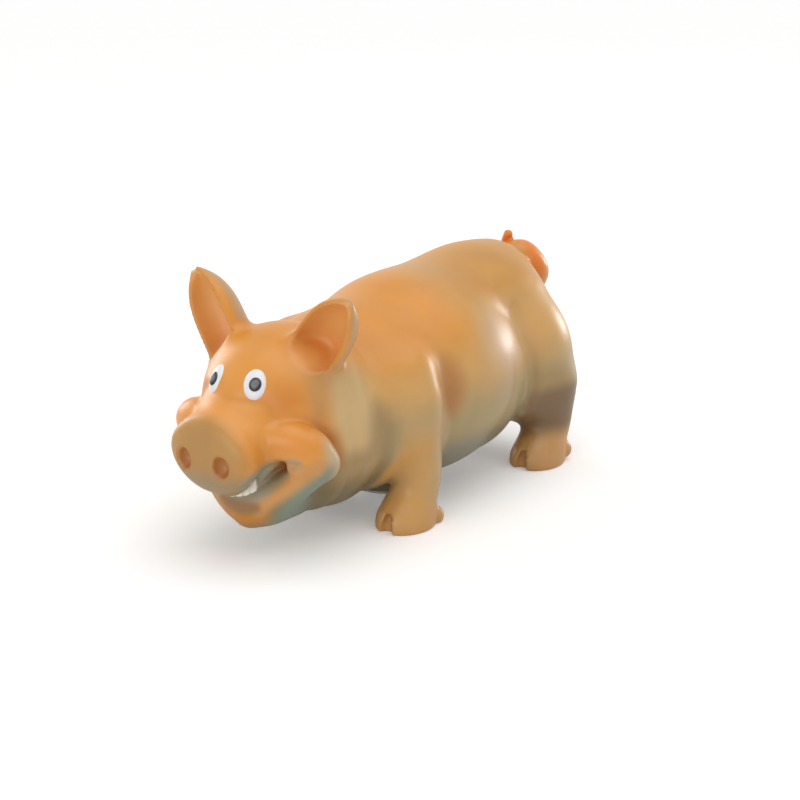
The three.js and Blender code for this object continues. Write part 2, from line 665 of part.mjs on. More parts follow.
function reedBlock() {
  const [width, length] = REED_SLOT;
  const slot = block([width, length, 3 * REED_BLOCK[2]], 0, grunterAt - GAP, blockLow - REED_BLOCK[2]);
  const ledgeWidth = (REED_BLOCK[0] - REED_SLOT[0]) / 2 - GAP;
  let body = block(REED_BLOCK, 0, grunterAt, blockLow).subtract(slot);
  for (const side of [-1, 1]) {
    const x = side * (REED_BLOCK[0] - ledgeWidth) / 2;
    const post = [ledgeWidth, REED_CLAMP_LENGTH, REED_BLOCK[2] + 2 * GAP + REED_THICKNESS];
    body = body.add(block(post, x, reedRoot + GAP - REED_CLAMP_LENGTH / 2, blockLow));
  }
  return body;
}

function reed() {
  return block([REED_WIDTH, REED_LENGTH, REED_THICKNESS], 0, reedRoot - REED_LENGTH / 2, reedLow);
}

function reedClamp() {
  const size = [REED_BLOCK[0], REED_CLAMP_LENGTH, REED_CLAMP_THICKNESS];
  return block(size, 0, reedRoot + GAP - REED_CLAMP_LENGTH / 2, clampLow);
}

const LATEX_TAN = { color: '#cda672', roughness: 0.5, metalness: 0 };
const LATEX_ORANGE = { color: '#dc9656', roughness: 0.48, metalness: 0 };
const LATEX_HOOF = { color: '#b5824f', roughness: 0.52, metalness: 0 };
const EYE_PAINT = { color: '#f2f1ec', roughness: 0.3, metalness: 0 };
const PUPIL_PAINT = { color: '#2c2a2a', roughness: 0.25, metalness: 0 };
const TOOTH_PAINT = { color: '#e6e2d6', roughness: 0.4, metalness: 0 };
const WADDING = { color: '#eceae4', roughness: 1, metalness: 0 };
const GREY_PLASTIC = { color: '#d8d6cf', roughness: 0.45, metalness: 0 };
const BELLOWS_RUBBER = { color: '#4a4744', roughness: 0.6, metalness: 0 };
const SPRING_STEEL = { color: '#b9bcc0', roughness: 0.3, metalness: 1 };
const REED_BRASS = { color: '#c9a452', roughness: 0.35, metalness: 1 };

const pig = new THREE.Group();
function place(name, shape, look) {
  const { vertProperties, triVerts } = shape.getMesh();
  const geometry = new THREE.BufferGeometry();
  geometry.setAttribute('position', new THREE.BufferAttribute(vertProperties, 3));
  geometry.setIndex(new THREE.BufferAttribute(triVerts, 1));
  geometry.computeVertexNormals();
  const made = new THREE.Mesh(geometry, new THREE.MeshStandardMaterial(look));
  made.name = name;
  pig.add(made);
}

place('torso_skin', torsoSkin(), LATEX_TAN);
place('head_skin', headSkin(), LATEX_ORANGE);
place('tail', tail(), LATEX_ORANGE);
for (const [word, side] of [['left', 1], ['right', -1]]) {
  place(`ear_${word}`, ear(side, EAR_OPENING[word], EAR_SWING[word]), LATEX_ORANGE);
  place(`foreleg_${word}`, leg(side, BODY_FRONT + FORE_FOOT_BEHIND_FRONT, FORE_LEG), LATEX_HOOF);
  place(`hindleg_${word}`, leg(side, rump - HIND_FOOT_BEFORE_RUMP, HIND_LEG), LATEX_HOOF);
  place(`eye_${word}`, eyeball(side).shape.subtract(pupilball(side, GAP)), EYE_PAINT);
  place(`pupil_${word}`, pupilball(side), PUPIL_PAINT);
}
place('teeth', teethRow(), TOOTH_PAINT);
place('torso_filling', torsoFilling(), WADDING);
place('head_filling', headFilling(), WADDING);
place('sound_grille', soundGrille(), GREY_PLASTIC);
place('bellows_base', bellowsBase(), GREY_PLASTIC);
place('bellows', bellows(), BELLOWS_RUBBER);
place('press_plate', pressPlate(), GREY_PLASTIC);
place('return_spring', returnSpring(), SPRING_STEEL);
place('reed_block', reedBlock(), GREY_PLASTIC);
place('reed', reed(), REED_BRASS);
place('reed_clamp', reedClamp(), REED_BRASS);

export default pig;
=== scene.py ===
# %% [markdown]
# A latex pig for dogs, sculpted and painted
#
# The frame brings the packed solids of a stuffed latex pig: a hollow skin, wadding inside it, and a press
# grunter in the belly. This lesson keeps those places and sizes, models a smooth cast skin over them, paints
# it with an airbrush, adds the eyes, teeth and soft inner pieces, and dresses the grille.

# %% Load the frame
import math

import bmesh
import bpy
import numpy as np
from mathutils import Matrix, Vector
from mathutils.bvhtree import BVHTree


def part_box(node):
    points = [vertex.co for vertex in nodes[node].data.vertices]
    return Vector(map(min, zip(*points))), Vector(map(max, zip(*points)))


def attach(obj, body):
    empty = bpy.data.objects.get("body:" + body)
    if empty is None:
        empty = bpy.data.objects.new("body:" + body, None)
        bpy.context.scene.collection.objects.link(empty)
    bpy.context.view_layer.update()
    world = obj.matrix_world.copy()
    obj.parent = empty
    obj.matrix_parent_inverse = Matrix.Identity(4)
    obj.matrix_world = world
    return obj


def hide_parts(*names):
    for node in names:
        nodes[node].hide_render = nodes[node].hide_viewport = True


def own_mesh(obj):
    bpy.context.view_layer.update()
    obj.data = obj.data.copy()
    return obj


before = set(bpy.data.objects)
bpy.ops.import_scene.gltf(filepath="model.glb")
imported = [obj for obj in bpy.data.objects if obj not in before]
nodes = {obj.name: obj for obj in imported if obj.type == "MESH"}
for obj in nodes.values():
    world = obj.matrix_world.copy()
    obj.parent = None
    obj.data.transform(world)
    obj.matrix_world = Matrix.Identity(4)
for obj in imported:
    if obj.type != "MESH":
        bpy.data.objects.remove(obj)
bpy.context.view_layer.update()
MM = 0.001
scene = bpy.context.scene

# %% [markdown]
# The camera stands a little above the pig and well to its left. It could be framed by eye in the viewport, but
# then a later change of the pig couldn't be compared with an earlier one. So its place, its aim and its long
# lens, which keeps the snout from looming, are written down as values.

# %% Camera
CAMERA_AT = Vector((468.4, -588.1, 285.9)) * MM
CAMERA_LOOKS_AT = Vector((0, 11.5, 38.7)) * MM
LENS = 83.25
SENSOR = 36

camera = bpy.data.objects.new("camera", bpy.data.cameras.new("camera"))
camera.data.lens = LENS
camera.data.sensor_width = SENSOR
camera.location = CAMERA_AT
camera.rotation_euler = (CAMERA_LOOKS_AT - CAMERA_AT).to_track_quat("-Z", "Y").to_euler()
scene.collection.objects.link(camera)
scene.camera = camera
print("camera", round((CAMERA_LOOKS_AT - CAMERA_AT).length, 3), "m away")

# %% [markdown]
# A cast skin has no edges: every limb flows into the next. It could be pulled into shape with sculpting
# brushes, but strokes are hard to write down and to change. So the skin is first built up from lumps of clay,
# and then each point of it slides on to one smooth form, in which neighbouring lumps melt into each other.
# A lump knows two things: how to be moulded as a mesh, and how far a point is from its surface. All lumps are
# in millimetres, in the frame's own place. The first kinds are an oval ball and a roll through a few stations.

# %% Balls and rolls
FAR = 30  # a roll measures no gap beyond this
BALL_SIDES, BALL_RINGS = 40, 24
ROLL_DETAIL = 3


def lengths(rows):
    return np.sqrt((rows * rows).sum(axis=1))


class Ball:
    """An oval ball: its middle, its half sizes, and a turn about x."""

    def __init__(self, middle, halves, turn=0):
        self.middle = np.array(middle, float)
        self.halves = np.array(halves, float)
        self.turn = Matrix.Rotation(math.radians(turn), 3, "X")

    def gap(self, points):
        local = (points - self.middle) @ np.array(self.turn)
        near = lengths(local / self.halves)
        steep = lengths(local / self.halves**2)
        return near * (near - 1) / np.maximum(steep, 1e-9)

    def mould(self, clay):
        place = Matrix.Translation(Vector(self.middle) * MM) @ self.turn.to_4x4()
        size = Matrix.Diagonal((*self.halves, 1))
        bmesh.ops.create_uvsphere(clay, u_segments=BALL_SIDES, v_segments=BALL_RINGS, radius=MM,
                                  matrix=place @ size)


class Roll:
    """A roll of clay through stations of x, y, z and radius."""

    def __init__(self, *stations, steps=5):
        rows = np.array(stations, float)
        rows = np.vstack([2 * rows[0] - rows[1], rows, 2 * rows[-1] - rows[-2]])
        share = np.arange(steps)[:, None] / steps
        curve = [
            0.5 * (2 * b + (c - a) * share + (2 * a - 5 * b + 4 * c - d) * share**2
                   + (3 * b - a - 3 * c + d) * share**3)
            for a, b, c, d in zip(rows[:-3], rows[1:-2], rows[2:-1], rows[3:])
        ]
        self.stations = np.vstack([*curve, rows[-2]])
        reach = FAR + self.stations[:, 3].max()
        self.low = self.stations[:, :3].min(axis=0) - reach
        self.high = self.stations[:, :3].max(axis=0) + reach

    def gap(self, points):
        found = np.full(len(points), float(FAR))
        close = ((points > self.low) & (points < self.high)).all(axis=1)
        near = points[close]
        nearest = np.full(len(near), float(FAR))
        for start, end in zip(self.stations[:-1], self.stations[1:]):
            way = end[:3] - start[:3]
            share = np.clip((near - start[:3]) @ way / (way @ way), 0, 1)
            away = lengths(near - start[:3] - share[:, None] * way)
            nearest = np.minimum(nearest, away - start[3] - share * (end[3] - start[3]))
        found[close] = nearest
        return found

    def mould(self, clay):
        for x, y, z, radius in self.stations:
            place = Matrix.Translation(Vector((x, y, z)) * MM)
            bmesh.ops.create_icosphere(clay, subdivisions=ROLL_DETAIL, radius=radius * MM, matrix=place)


print("lumps:", Ball.__doc__, Roll.__doc__)

# %% [markdown]
# The snout and the collar of the grunter are flat discs with a round rim. A cylinder with a bevel would give
# such a mesh, but the melting needs its gap as well, so the disc is a lump like the others.

# %% Drums
DRUM_SIDES = 48


class Drum:
    """A short oval drum with a round rim. Its two faces look along its own y."""

    def __init__(self, middle, halves, rim, turn=0):
        self.middle = np.array(middle, float)
        self.halves = halves
        self.rim = rim
        self.turn = Matrix.Rotation(math.radians(turn), 3, "X")

    def gap(self, points):
        wide, thick, high = self.halves
        local = (points - self.middle) @ np.array(self.turn)
        share = np.sqrt((local[:, 0] / wide) ** 2 + (local[:, 2] / high) ** 2)
        around = (share - 1) * min(wide, high) + self.rim
        through = np.abs(local[:, 1]) - thick + self.rim
        outside = np.sqrt(np.maximum(around, 0) ** 2 + np.maximum(through, 0) ** 2)
        return outside + np.minimum(np.maximum(around, through), 0) - self.rim

    def mould(self, clay):
        place = Matrix.Translation(Vector(self.middle) * MM) @ self.turn.to_4x4()
        size = Matrix.Diagonal((*self.halves, 1)) @ Matrix.Rotation(math.pi / 2, 4, "X")
        bmesh.ops.create_cone(clay, cap_ends=True, segments=DRUM_SIDES, radius1=MM, radius2=MM, depth=2 * MM,
                              matrix=place @ size)


print("lumps:", Drum.__doc__)

# %% [markdown]
# Where two lumps meet, latex leaves a soft valley. A bevel can't follow such a changing line, so the two gaps
# are mixed over a soft width: a wide one flows, a narrow one leaves a fold. The same mix, turned round, carves
# a lump out, and a crease is pressed in along a line. The pig is alike on both sides, so a lump of the left side
# serves the right side too, by mirroring the points that ask for it.

# %% Melting lumps together
def joined(first, second, soft):
    """The nearer of two gaps, melted together over a soft width."""
    share = np.clip(0.5 + 0.5 * (second - first) / soft, 0, 1)
    return second + (first - second) * share - soft * share * (1 - share)


def carved(first, second, soft):
    """The first form with the second one taken out."""
    return -joined(-first, second, soft)


def creased(gap, away, depth, width):
    """The form with a soft crease pressed in along a line."""
    return gap + depth * np.exp(-((away / width) ** 2))


def fade(values, start, end):
    """0 before start and 1 after end, turning smoothly between."""
    share = np.clip((values - start) / (end - start), 0, 1)
    return share * share * (3 - 2 * share)


def melted(gap, points, joins):
    """A form with more lumps melted on, each over its own soft width."""
    for lump, soft in joins:
        gap = joined(gap, lump.gap(points), soft)
    return gap


def widening(heights, narrow, wide, low, high):
    """A soft width that grows from narrow to wide between two heights."""
    return narrow + (wide - narrow) * fade(heights, low, high)


def on_the_left(points):
    """The points, with those of the right side mirrored to the left."""
    left = points.copy()
    left[:, 0] = np.abs(left[:, 0])
    return left


print("two gaps of 1 mm, melted over 2 mm:", joined(np.array(1.0), np.array(1.0), 2))

# %% [markdown]
# The trunk is a fat barrel between a chest and a narrower rump, on short legs with cloven trotters, and its tail
# is a short curl. A flat collar under the belly holds the grunter. Limbs could be extruded from the trunk, but
# separate lumps are easier to move. The creases are lines: rolls without a radius.

# %% Lumps of the trunk
BARREL = Ball((0, 17, 51), (45.8, 55, 44.5))
CHEST = Ball((0, -26, 49), (40, 36, 39))
NECK = Ball((0, -54, 48), (37.5, 22, 38.3), turn=8)
THROAT = Ball((0, -66, 46.3), (34.5, 10, 35.6), turn=10)
RUMP = Ball((0, 67, 56.8), (36.5, 35.5, 41.6))
DOCK = Ball((0, 80, 82.5), (14, 12, 12))
GROIN = Ball((0, 42, 42), (38, 26, 34))
SHOULDER = Ball((32, -25, 54), (13, 13, 22))
FORE_SHANK = Roll((31.5, -23.5, 52, 11.5), (32.2, -20, 36, 11), (32.8, -19, 20, 9.9), (31.6, -20.5, 11, 9.7))
HAM = Ball((27, 74.5, 44.5), (14.8, 22.5, 26.5))
HIND_SHANK = Roll((29.5, 81, 34, 13), (31, 81, 20, 10.6), (31.4, 77.5, 11, 10.2))
FORE_FOOT = (31.4, -23.2)
HIND_FOOT = (31.4, 73.8)
HOOF_HALVES = (11.8, 14, 12.5)
HOOF_AHEAD, HOOF_HEIGHT = 1.5, 2
CLAW_HALVES = (3, 3.4, 4)
CLAW_SIDE, CLAW_BACK = 7.9, 9
CLAW_HEIGHTS = (2.8, 5)
GRUNTER = [np.array(corner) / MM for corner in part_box("bellows_base")]
COLLAR_RADIUS, COLLAR_HALF_HEIGHT, COLLAR_RIM = 19.5, 3, 1.2
COLLAR_AT = (0, (GRUNTER[0][1] + GRUNTER[1][1]) / 2, GRUNTER[0][2] + COLLAR_HALF_HEIGHT)
COLLAR = Drum(COLLAR_AT, (COLLAR_RADIUS, COLLAR_HALF_HEIGHT, COLLAR_RADIUS), COLLAR_RIM, turn=90)
TAIL = Roll((2, 88, 83.5, 9), (4, 96, 87, 7.8), (6.6, 103, 79.5, 7), (2, 105, 72.5, 6),
            (-6, 103, 74, 4.9), (-8, 100, 82, 4), (-5, 97, 90, 3), (-3.2, 96, 96.2, 2.2))
TAIL_HEART = Ball((2, 100.5, 80), (6.5, 7, 8))
NECK_CREASE = Roll((14, -43, 85, 0), (27, -47, 79, 0), (36.5, -51, 64, 0), (38, -53, 46, 0), (33, -55, 28, 0))
THIGH_CREASE = Roll((31, 53, 76, 0), (36.5, 51.5, 67, 0), (38, 56.5, 54, 0), (37.5, 58.5, 41, 0),
                    (34, 58, 29, 0))
ELBOW_CREASE = Roll((44, -10, 50, 0), (42, -5.5, 40, 0), (39, -4.5, 30, 0))


def hoof_lumps(foot, claw_height):
    x, y = foot
    shell = Ball((x, y - HOOF_AHEAD, HOOF_HEIGHT), HOOF_HALVES)
    cleft = Roll((x, y - 15.5, -3, 3.2), (x, y - 14, 4, 2.4), (x, y - 10.5, 10.5, 0.8), steps=3)
    claws = [Ball((x + side, y + CLAW_BACK, claw_height), CLAW_HALVES) for side in (-CLAW_SIDE, CLAW_SIDE)]
    return shell, cleft, claws


HOOVES = [hoof_lumps(foot, claw) for foot, claw in zip((FORE_FOOT, HIND_FOOT), CLAW_HEIGHTS)]
print("trotters", len(HOOVES), "a side, tail stations", len(TAIL.stations))

# %% [markdown]
# Now the trunk is melted together. The thigh flows into the barrel along the back but keeps a deep crease down
# the side, and the foreleg keeps a fold behind the elbow. One width for a whole join can't do that, so these
# widths grow with the height. Each fold is given by its depth and its width.

# %% Form of the trunk
FRONT_JOINS = ((CHEST, 12), (NECK, 9), (THROAT, 4))
REAR_JOINS = ((DOCK, 9), (GROIN, 8))
FORE_WIDENING = (2.5, 11.5, 56, 76)  # narrow, wide, from which height and to which
HIND_WIDENING = (5, 26, 70, 92)
NECK_FOLD, ELBOW_FOLD, THIGH_FOLD = (1.0, 2.6), (1.2, 2.2), (1.3, 2.6)
LEG_SOFT, RUMP_SOFT, COLLAR_SOFT, HEART_SOFT, TAIL_SOFT = 8, 10, 2, 3, 2
HOOF_SOFT, CLAW_SOFT, CLEFT_SOFT = 5, 1.2, 0.8


def leg_gap(left, top, shank, hoof):
    shell, cleft, claws = hoof
    leg = joined(top.gap(left), shank.gap(left), LEG_SOFT)
    leg = melted(leg, left, [(shell, HOOF_SOFT), *((claw, CLAW_SOFT) for claw in claws)])
    return carved(leg, cleft.gap(left), CLEFT_SOFT)


def trunk_gap(points, left):
    heights = points[:, 2]
    front = melted(BARREL.gap(points), points, FRONT_JOINS)
    front = creased(front, NECK_CREASE.gap(left), *NECK_FOLD)
    fore = leg_gap(left, SHOULDER, FORE_SHANK, HOOVES[0])
    front = joined(front, fore, widening(heights, *FORE_WIDENING))
    front = creased(front, ELBOW_CREASE.gap(left), *ELBOW_FOLD)
    hind = leg_gap(left, HAM, HIND_SHANK, HOOVES[1])
    hind = melted(joined(RUMP.gap(points), hind, RUMP_SOFT), points, REAR_JOINS)
    gap = joined(front, hind, widening(heights, *HIND_WIDENING))
    gap = creased(gap, THIGH_CREASE.gap(left), *THIGH_FOLD)
    gap = joined(gap, COLLAR.gap(points), COLLAR_SOFT)
    tail = joined(TAIL.gap(points), TAIL_HEART.gap(points), HEART_SOFT)
    return joined(gap, tail, TAIL_SOFT)


print("trunk joins", len(FRONT_JOINS) + len(REAR_JOINS))

# %% [markdown]
# The head takes the most care: a round skull, a muzzle that ends in a flat snout disc, fat cheeks, and a
# lower lip that sweeps up to the corners of an open grin. The mouth and the nostrils are lumps as well, kept
# to be carved out.

# %% Lumps of the head
SKULL = Ball((0, -64, 62.3), (32, 31, 27.2))
MUZZLE = Roll((0, -76, 55, 21.5), (0, -99, 47.5, 16), steps=1)
MUZZLE_SIDES = Ball((0, -92, 49.5), (19.5, 22, 14.5), turn=18)
SNOUT = Drum((0, -106, 47.4), (18.4, 5, 11.7), 4.5, turn=4)
SNOUT_FACE = -111.4
UPPER_LIP = Ball((0, -95, 38), (13.5, 10.5, 10.5))
CHEEK = Roll((14, -90, 51.5, 7.6), (24, -87, 52, 8), (30.5, -83, 49, 7.8), (32.5, -79.5, 43, 7))
LIP = Roll((32.5, -79.5, 43, 7), (21.5, -82.5, 32, 6.4), (10, -84, 21.5, 6.4), (0, -85, 17.6, 7))
JAW = Ball((0, -72, 27.5), (22, 18, 16.5))
MOUTH = Roll((31, -90.3, 44.5, 0.6), (25, -92, 41.5, 1.3), (17, -93.5, 38, 4.2), (9.5, -94.5, 31, 4.6),
             (0, -96, 27, 3.8))
CORNER = Ball((27.5, -85, 42), (6, 5.5, 4.5))
BRIDGE_CREASE = Roll((0, -98, 67.5, 0), (9, -95.5, 68, 0), (16, -91.5, 67, 0), (20, -90.5, 62, 0))
NOSTRIL = Ball((9.5, -112, 44.7), (3.7, 5, 4.5))
print("snout", 2 * SNOUT.halves[0], "mm wide")

# %% [markdown]
# The ear is a pointed hood, the back half of a bullet whose front is open. A solidified sheet would do for the
# mesh. As a lump with a gap of its own it melts into the skull like the rest. It is moulded from a ball that is
# bent round the line from root to tip, a little thicker than the ear, so that the remesh doesn't tear it.

# %% Ears
EAR_SIDES, EAR_RINGS = 64, 40
EAR_CLAY = 1.7  # thickness of the clay, as a share of the finished one
EAR_POLE = 0.15  # keeps the bend steady at the poles of the ball
EAR_EDGE = 6  # a higher power makes the rim squarer


class Ear:
    """A pointed hood: a thin round shell about a line from root to tip, open at the front.

    A turn swings the opening outwards.
    """

    def __init__(self, root, tip, radius, taper, opening, turn=0, half_thick=1.4, sunk=9):
        self.root = np.array(root, float)
        self.radius, self.taper, self.half_thick, self.sunk = radius, taper, half_thick, sunk
        self.opening = math.radians(opening)
        way = np.array(tip, float) - self.root
        self.length = float(np.linalg.norm(way))
        self.up = way / self.length
        ahead = np.array((0, -1, 0)) + self.up[1] * self.up
        ahead /= np.linalg.norm(ahead)
        across = np.cross(self.up, ahead)
        turn = math.radians(turn)
        self.front = math.cos(turn) * ahead + math.sin(turn) * across
        self.side = np.cross(self.up, self.front)

    def radius_at(self, share):
        return self.radius * (1 - np.clip(share, 0, None) ** self.taper)

    def inside(self, points):
        """How far a point is above the root, as a share of the length, and how far within the shell."""
        local = points - self.root
        share = local @ self.up / self.length
        return share, self.radius_at(share) - np.hypot(local @ self.side, local @ self.front)

    def gap(self, points):
        local = points - self.root
        share, within = self.inside(points)
        lean = self.taper * self.radius / self.length * np.clip(share, 0, 1) ** (self.taper - 1)
        through = within / np.sqrt(1 + lean**2) / self.half_thick
        turn = np.abs(np.arctan2(local @ self.side, -(local @ self.front))) / self.opening
        shell = (np.sqrt(turn**EAR_EDGE + through**2) - 1) * self.half_thick
        return np.maximum(shell, -share * self.length - self.sunk)

    def mould(self, clay):
        made = bmesh.ops.create_uvsphere(clay, u_segments=EAR_SIDES, v_segments=EAR_RINGS, radius=1)
        for vert in made["verts"]:
            x, y, z = vert.co
            up = (z + 1) / 2 * (self.length + self.sunk) - self.sunk
            turn = self.opening * min(max(x / max(math.sqrt(max(1 - z * z, 0)), EAR_POLE), -1), 1)
            thick = math.copysign(math.sqrt(abs(y)), y) * EAR_CLAY * self.half_thick
            around = float(self.radius_at(up / self.length)) + thick
            out = math.sin(turn) * self.side - math.cos(turn) * self.front
            vert.co = Vector(self.root + up * self.up + around * out) * MM


EAR_LEFT = Ear(root=(19.8, -69, 81.6), tip=(39.4, -71, 105.8), radius=10.4, taper=4, opening=104)
EAR_RIGHT = Ear(root=(24.6, -71, 80), tip=(40.2, -71.3, 107), radius=10.6, taper=4, opening=104, turn=8)


def ear_gap(points, left):
    return np.where(points[:, 0] > 0, EAR_LEFT.gap(left), EAR_RIGHT.gap(left))


print("ears", round(EAR_LEFT.length, 1), "and", round(EAR_RIGHT.length, 1), "mm long")

# %% [markdown]
# The head is melted from the skull outwards. The snout's disc is cut flat, the nostrils get a raised rim before
# they are carved, and the soles are cut off level with the floor. The order matters: what is carved late stays
# open, and what is joined late fills what was carved before it.

# %% Form of the head and of the whole pig
MUZZLE_JOINS = ((MUZZLE, 10), (MUZZLE_SIDES, 6), (SNOUT, 8))
CHEEK_JOINS = ((UPPER_LIP, 5), (CHEEK, 2.5))
LIP_SOFT, JAW_SOFT, CORNER_SOFT, EAR_SOFT, NECK_SOFT = 8, 2, 2.5, 4.5, 4.5
SNOUT_EDGE, MOUTH_EDGE, NOSTRIL_EDGE, SOLE_EDGE = 4, 1.6, 1, 1
BRIDGE_FOLD, NOSTRIL_RIM = (0.8, 2.6), (-0.5, 1.1)


def head_gap(points, left):
    gap = melted(SKULL.gap(points), points, MUZZLE_JOINS)
    gap = carved(gap, points[:, 1] - SNOUT_FACE, SNOUT_EDGE)
    gap = melted(gap, left, CHEEK_JOINS)
    gap = joined(gap, joined(LIP.gap(left), JAW.gap(points), LIP_SOFT), JAW_SOFT)
    gap = joined(gap, CORNER.gap(left), CORNER_SOFT)
    gap = creased(gap, BRIDGE_CREASE.gap(left), *BRIDGE_FOLD)
    gap = carved(gap, MOUTH.gap(left), MOUTH_EDGE)
    gap = creased(gap, NOSTRIL.gap(left), *NOSTRIL_RIM)
    gap = carved(gap, NOSTRIL.gap(left), NOSTRIL_EDGE)
    return joined(gap, ear_gap(points, left), EAR_SOFT)


def pig_gap(points):
    left = on_the_left(points)
    whole = joined(trunk_gap(points, left), head_gap(points, left), NECK_SOFT)
    return carved(whole, points[:, 2], SOLE_EDGE)


above_back = BARREL.middle + (0, 0, BARREL.halves[2] + 10)
print("gap 10 mm above the barrel", round(float(pig_gap(above_back[None])[0]), 1), "mm")

# %% [markdown]
# Some tools for the bench. A bmesh becomes an object, modifiers are baked into its mesh, clay is fused by a voxel
# remesh, and a cutter is taken out of a piece. A finished piece is shaded smooth and told which body carries it,
# and the solids that it stands for are hidden.

# %% Bench tools
def object_of(name, clay):
    mesh = bpy.data.meshes.new(name)
    clay.to_mesh(mesh)
    clay.free()
    made = bpy.data.objects.new(name, mesh)
    scene.collection.objects.link(made)
    return made


def applied(piece):
    """Bakes the modifiers of a piece into its mesh."""
    baked = bpy.data.meshes.new_from_object(piece.evaluated_get(bpy.context.evaluated_depsgraph_get()))
    piece.modifiers.clear()
    piece.data = baked
    return piece


def remeshed(piece, voxel):
    remesh = piece.modifiers.new("remesh", "REMESH")
    remesh.mode = "VOXEL"
    remesh.voxel_size = voxel
    return applied(piece)


def cut_out(piece, cutter):
    """Takes a cutter out of a piece and removes the cutter."""
    carve = piece.modifiers.new("carve", "BOOLEAN")
    carve.operation = "DIFFERENCE"
    carve.solver = "MANIFOLD"
    carve.object = cutter
    applied(piece)
    bpy.data.objects.remove(cutter)


def points_of(piece, what):
    """The places or the normals of the points of a piece, a row for each."""
    rows = np.empty(len(piece.data.vertices) * 3)
    piece.data.vertices.foreach_get(what, rows)
    return rows.reshape(-1, 3)


def evened(piece, factor, repeats, chosen=None):
    """Smooths all points of a piece, or the chosen ones."""
    clay = bmesh.new()
    clay.from_mesh(piece.data)
    verts = list(clay.verts) if chosen is None else [vert for vert, take in zip(clay.verts, chosen) if take]
    for _ in range(repeats):
        bmesh.ops.smooth_vert(clay, verts=verts, factor=factor,
                              use_axis_x=True, use_axis_y=True, use_axis_z=True)
    clay.to_mesh(piece.data)
    clay.free()


def seated(piece, slot, *solids):
    """Finishes a piece of the pig: smooth shading, its body, and hiding the solids it stands for. The slot is not
    used.
    """
    piece.data.polygons.foreach_set("use_smooth", [True] * len(piece.data.polygons))
    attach(piece, "pig")
    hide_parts(*solids)
    print(piece.name, len(piece.data.vertices), "points")
    return piece


print("bench ready")

# %% [markdown]
# The skin is one casting of latex. The lumps are moulded and fused into one closed mesh by a voxel remesh. The
# mouth, the nostrils and the clefts of the trotters are cut out of it, because a point that only slides can't
# open a hole. Then every point slides down the slope of the gap until it lies on the smooth form, with a little
# smoothing between the slides to keep the mesh even. A remesh alone would leave steps, and smoothing alone would
# shrink the lips and the ears.

# %% Skin
VOXEL = 1.1 * MM
SLOPE_STEP = 0.02
LONGEST_SLIDE = 2.0
FLATTEST = 0.1
SETTLING = ((3, 3), (2, 1))  # rounds of sliding, and rounds of smoothing after them
LAST_ROUNDS = 2
EVEN = 0.5
STRAY, STRAY_EVEN, STRAY_ROUNDS = 0.3, 0.7, 3


def one_side(clay, lumps, side):
    """Moulds left lumps on the left, side 1, or mirrored on the right, side -1."""
    half = bmesh.new()
    for lump in lumps:
        lump.mould(half)
    mesh = bpy.data.meshes.new("half")
    half.to_mesh(mesh)
    half.free()
    mesh.transform(Matrix.Diagonal((side, 1, 1, 1)))
    clay.from_mesh(mesh)
    bpy.data.meshes.remove(mesh)
    bmesh.ops.recalc_face_normals(clay, faces=clay.faces)


def both_sides(clay, lumps):
    one_side(clay, lumps, 1)
    one_side(clay, lumps, -1)


def settled(piece, rounds):
    """Slides the points of a piece on to the smooth form of the pig."""
    points = points_of(piece, "co") / MM
    for _ in range(rounds):
        here = pig_gap(points)
        slopes = [(pig_gap(points + way) - here) / SLOPE_STEP for way in SLOPE_STEP * np.eye(3)]
        slope = np.stack(slopes, axis=1)
        slide = here / np.maximum((slope * slope).sum(axis=1), FLATTEST)
        points -= np.clip(slide, -LONGEST_SLIDE, LONGEST_SLIDE)[:, None] * slope
    piece.data.vertices.foreach_set("co", (points * MM).ravel())
    piece.data.update()
    return np.abs(pig_gap(points))


def make_skin():
    clay = bmesh.new()
    hoof_clay = [lump for shell, _, claws in HOOVES for lump in (shell, *claws)]
    both_sides(clay, [SHOULDER, FORE_SHANK, HAM, HIND_SHANK, CHEEK, LIP, CORNER, *hoof_clay])
    one_side(clay, [EAR_LEFT], 1)
    one_side(clay, [EAR_RIGHT], -1)
    for lump in (BARREL, CHEST, RUMP, DOCK, GROIN, NECK, THROAT, COLLAR, TAIL, TAIL_HEART,
                 SKULL, MUZZLE, UPPER_LIP, JAW, MUZZLE_SIDES, SNOUT):
        lump.mould(clay)
    piece = remeshed(object_of("latex_skin", clay), VOXEL)
    cuts = bmesh.new()
    both_sides(cuts, [MOUTH, NOSTRIL, *(cleft for _, cleft, _ in HOOVES)])
    cut_out(piece, remeshed(object_of("cutter", cuts), VOXEL / 2))
    remeshed(piece, VOXEL)
    for rounds, repeats in SETTLING:
        settled(piece, rounds)
        evened(piece, EVEN, repeats)
    left_over = settled(piece, LAST_ROUNDS)
    evened(piece, STRAY_EVEN, STRAY_ROUNDS, chosen=left_over > STRAY)
    print("furthest from the form", round(float(left_over.max()), 3), "mm")
    return piece


skin = seated(make_skin(), "latex_tan", "torso_skin", "head_skin", "tail", "ear_left", "ear_right",
              "foreleg_left", "foreleg_right", "hindleg_left", "hindleg_right")

# %% [markdown]
# Inside lies the wadding, loose polyester fibre that fills the skin out. Cloth under pressure would swell the same
# way, but the fibre only takes the form of the mould. So it is the same lumps a few millimetres smaller, pressed
# together, with a hollow left for the grunter.

# %% Wadding
WALL, RUMP_WALL = 4.2, 5
WADDING_VOXEL = 2.5 * MM
WADDING_ROUNDS = 2
ROOM_RADIUS, ROOM_HALF_HEIGHT, ROOM_MIDDLE, ROOM_RIM = 22.5, 27, 26, 2
GRUNTER_ROOM = Drum((0, COLLAR_AT[1], ROOM_MIDDLE), (ROOM_RADIUS, ROOM_HALF_HEIGHT, ROOM_RADIUS), ROOM_RIM, turn=90)


def smaller(ball, by=WALL):
    made = Ball(ball.middle, ball.halves - by)
    made.turn = ball.turn
    return made


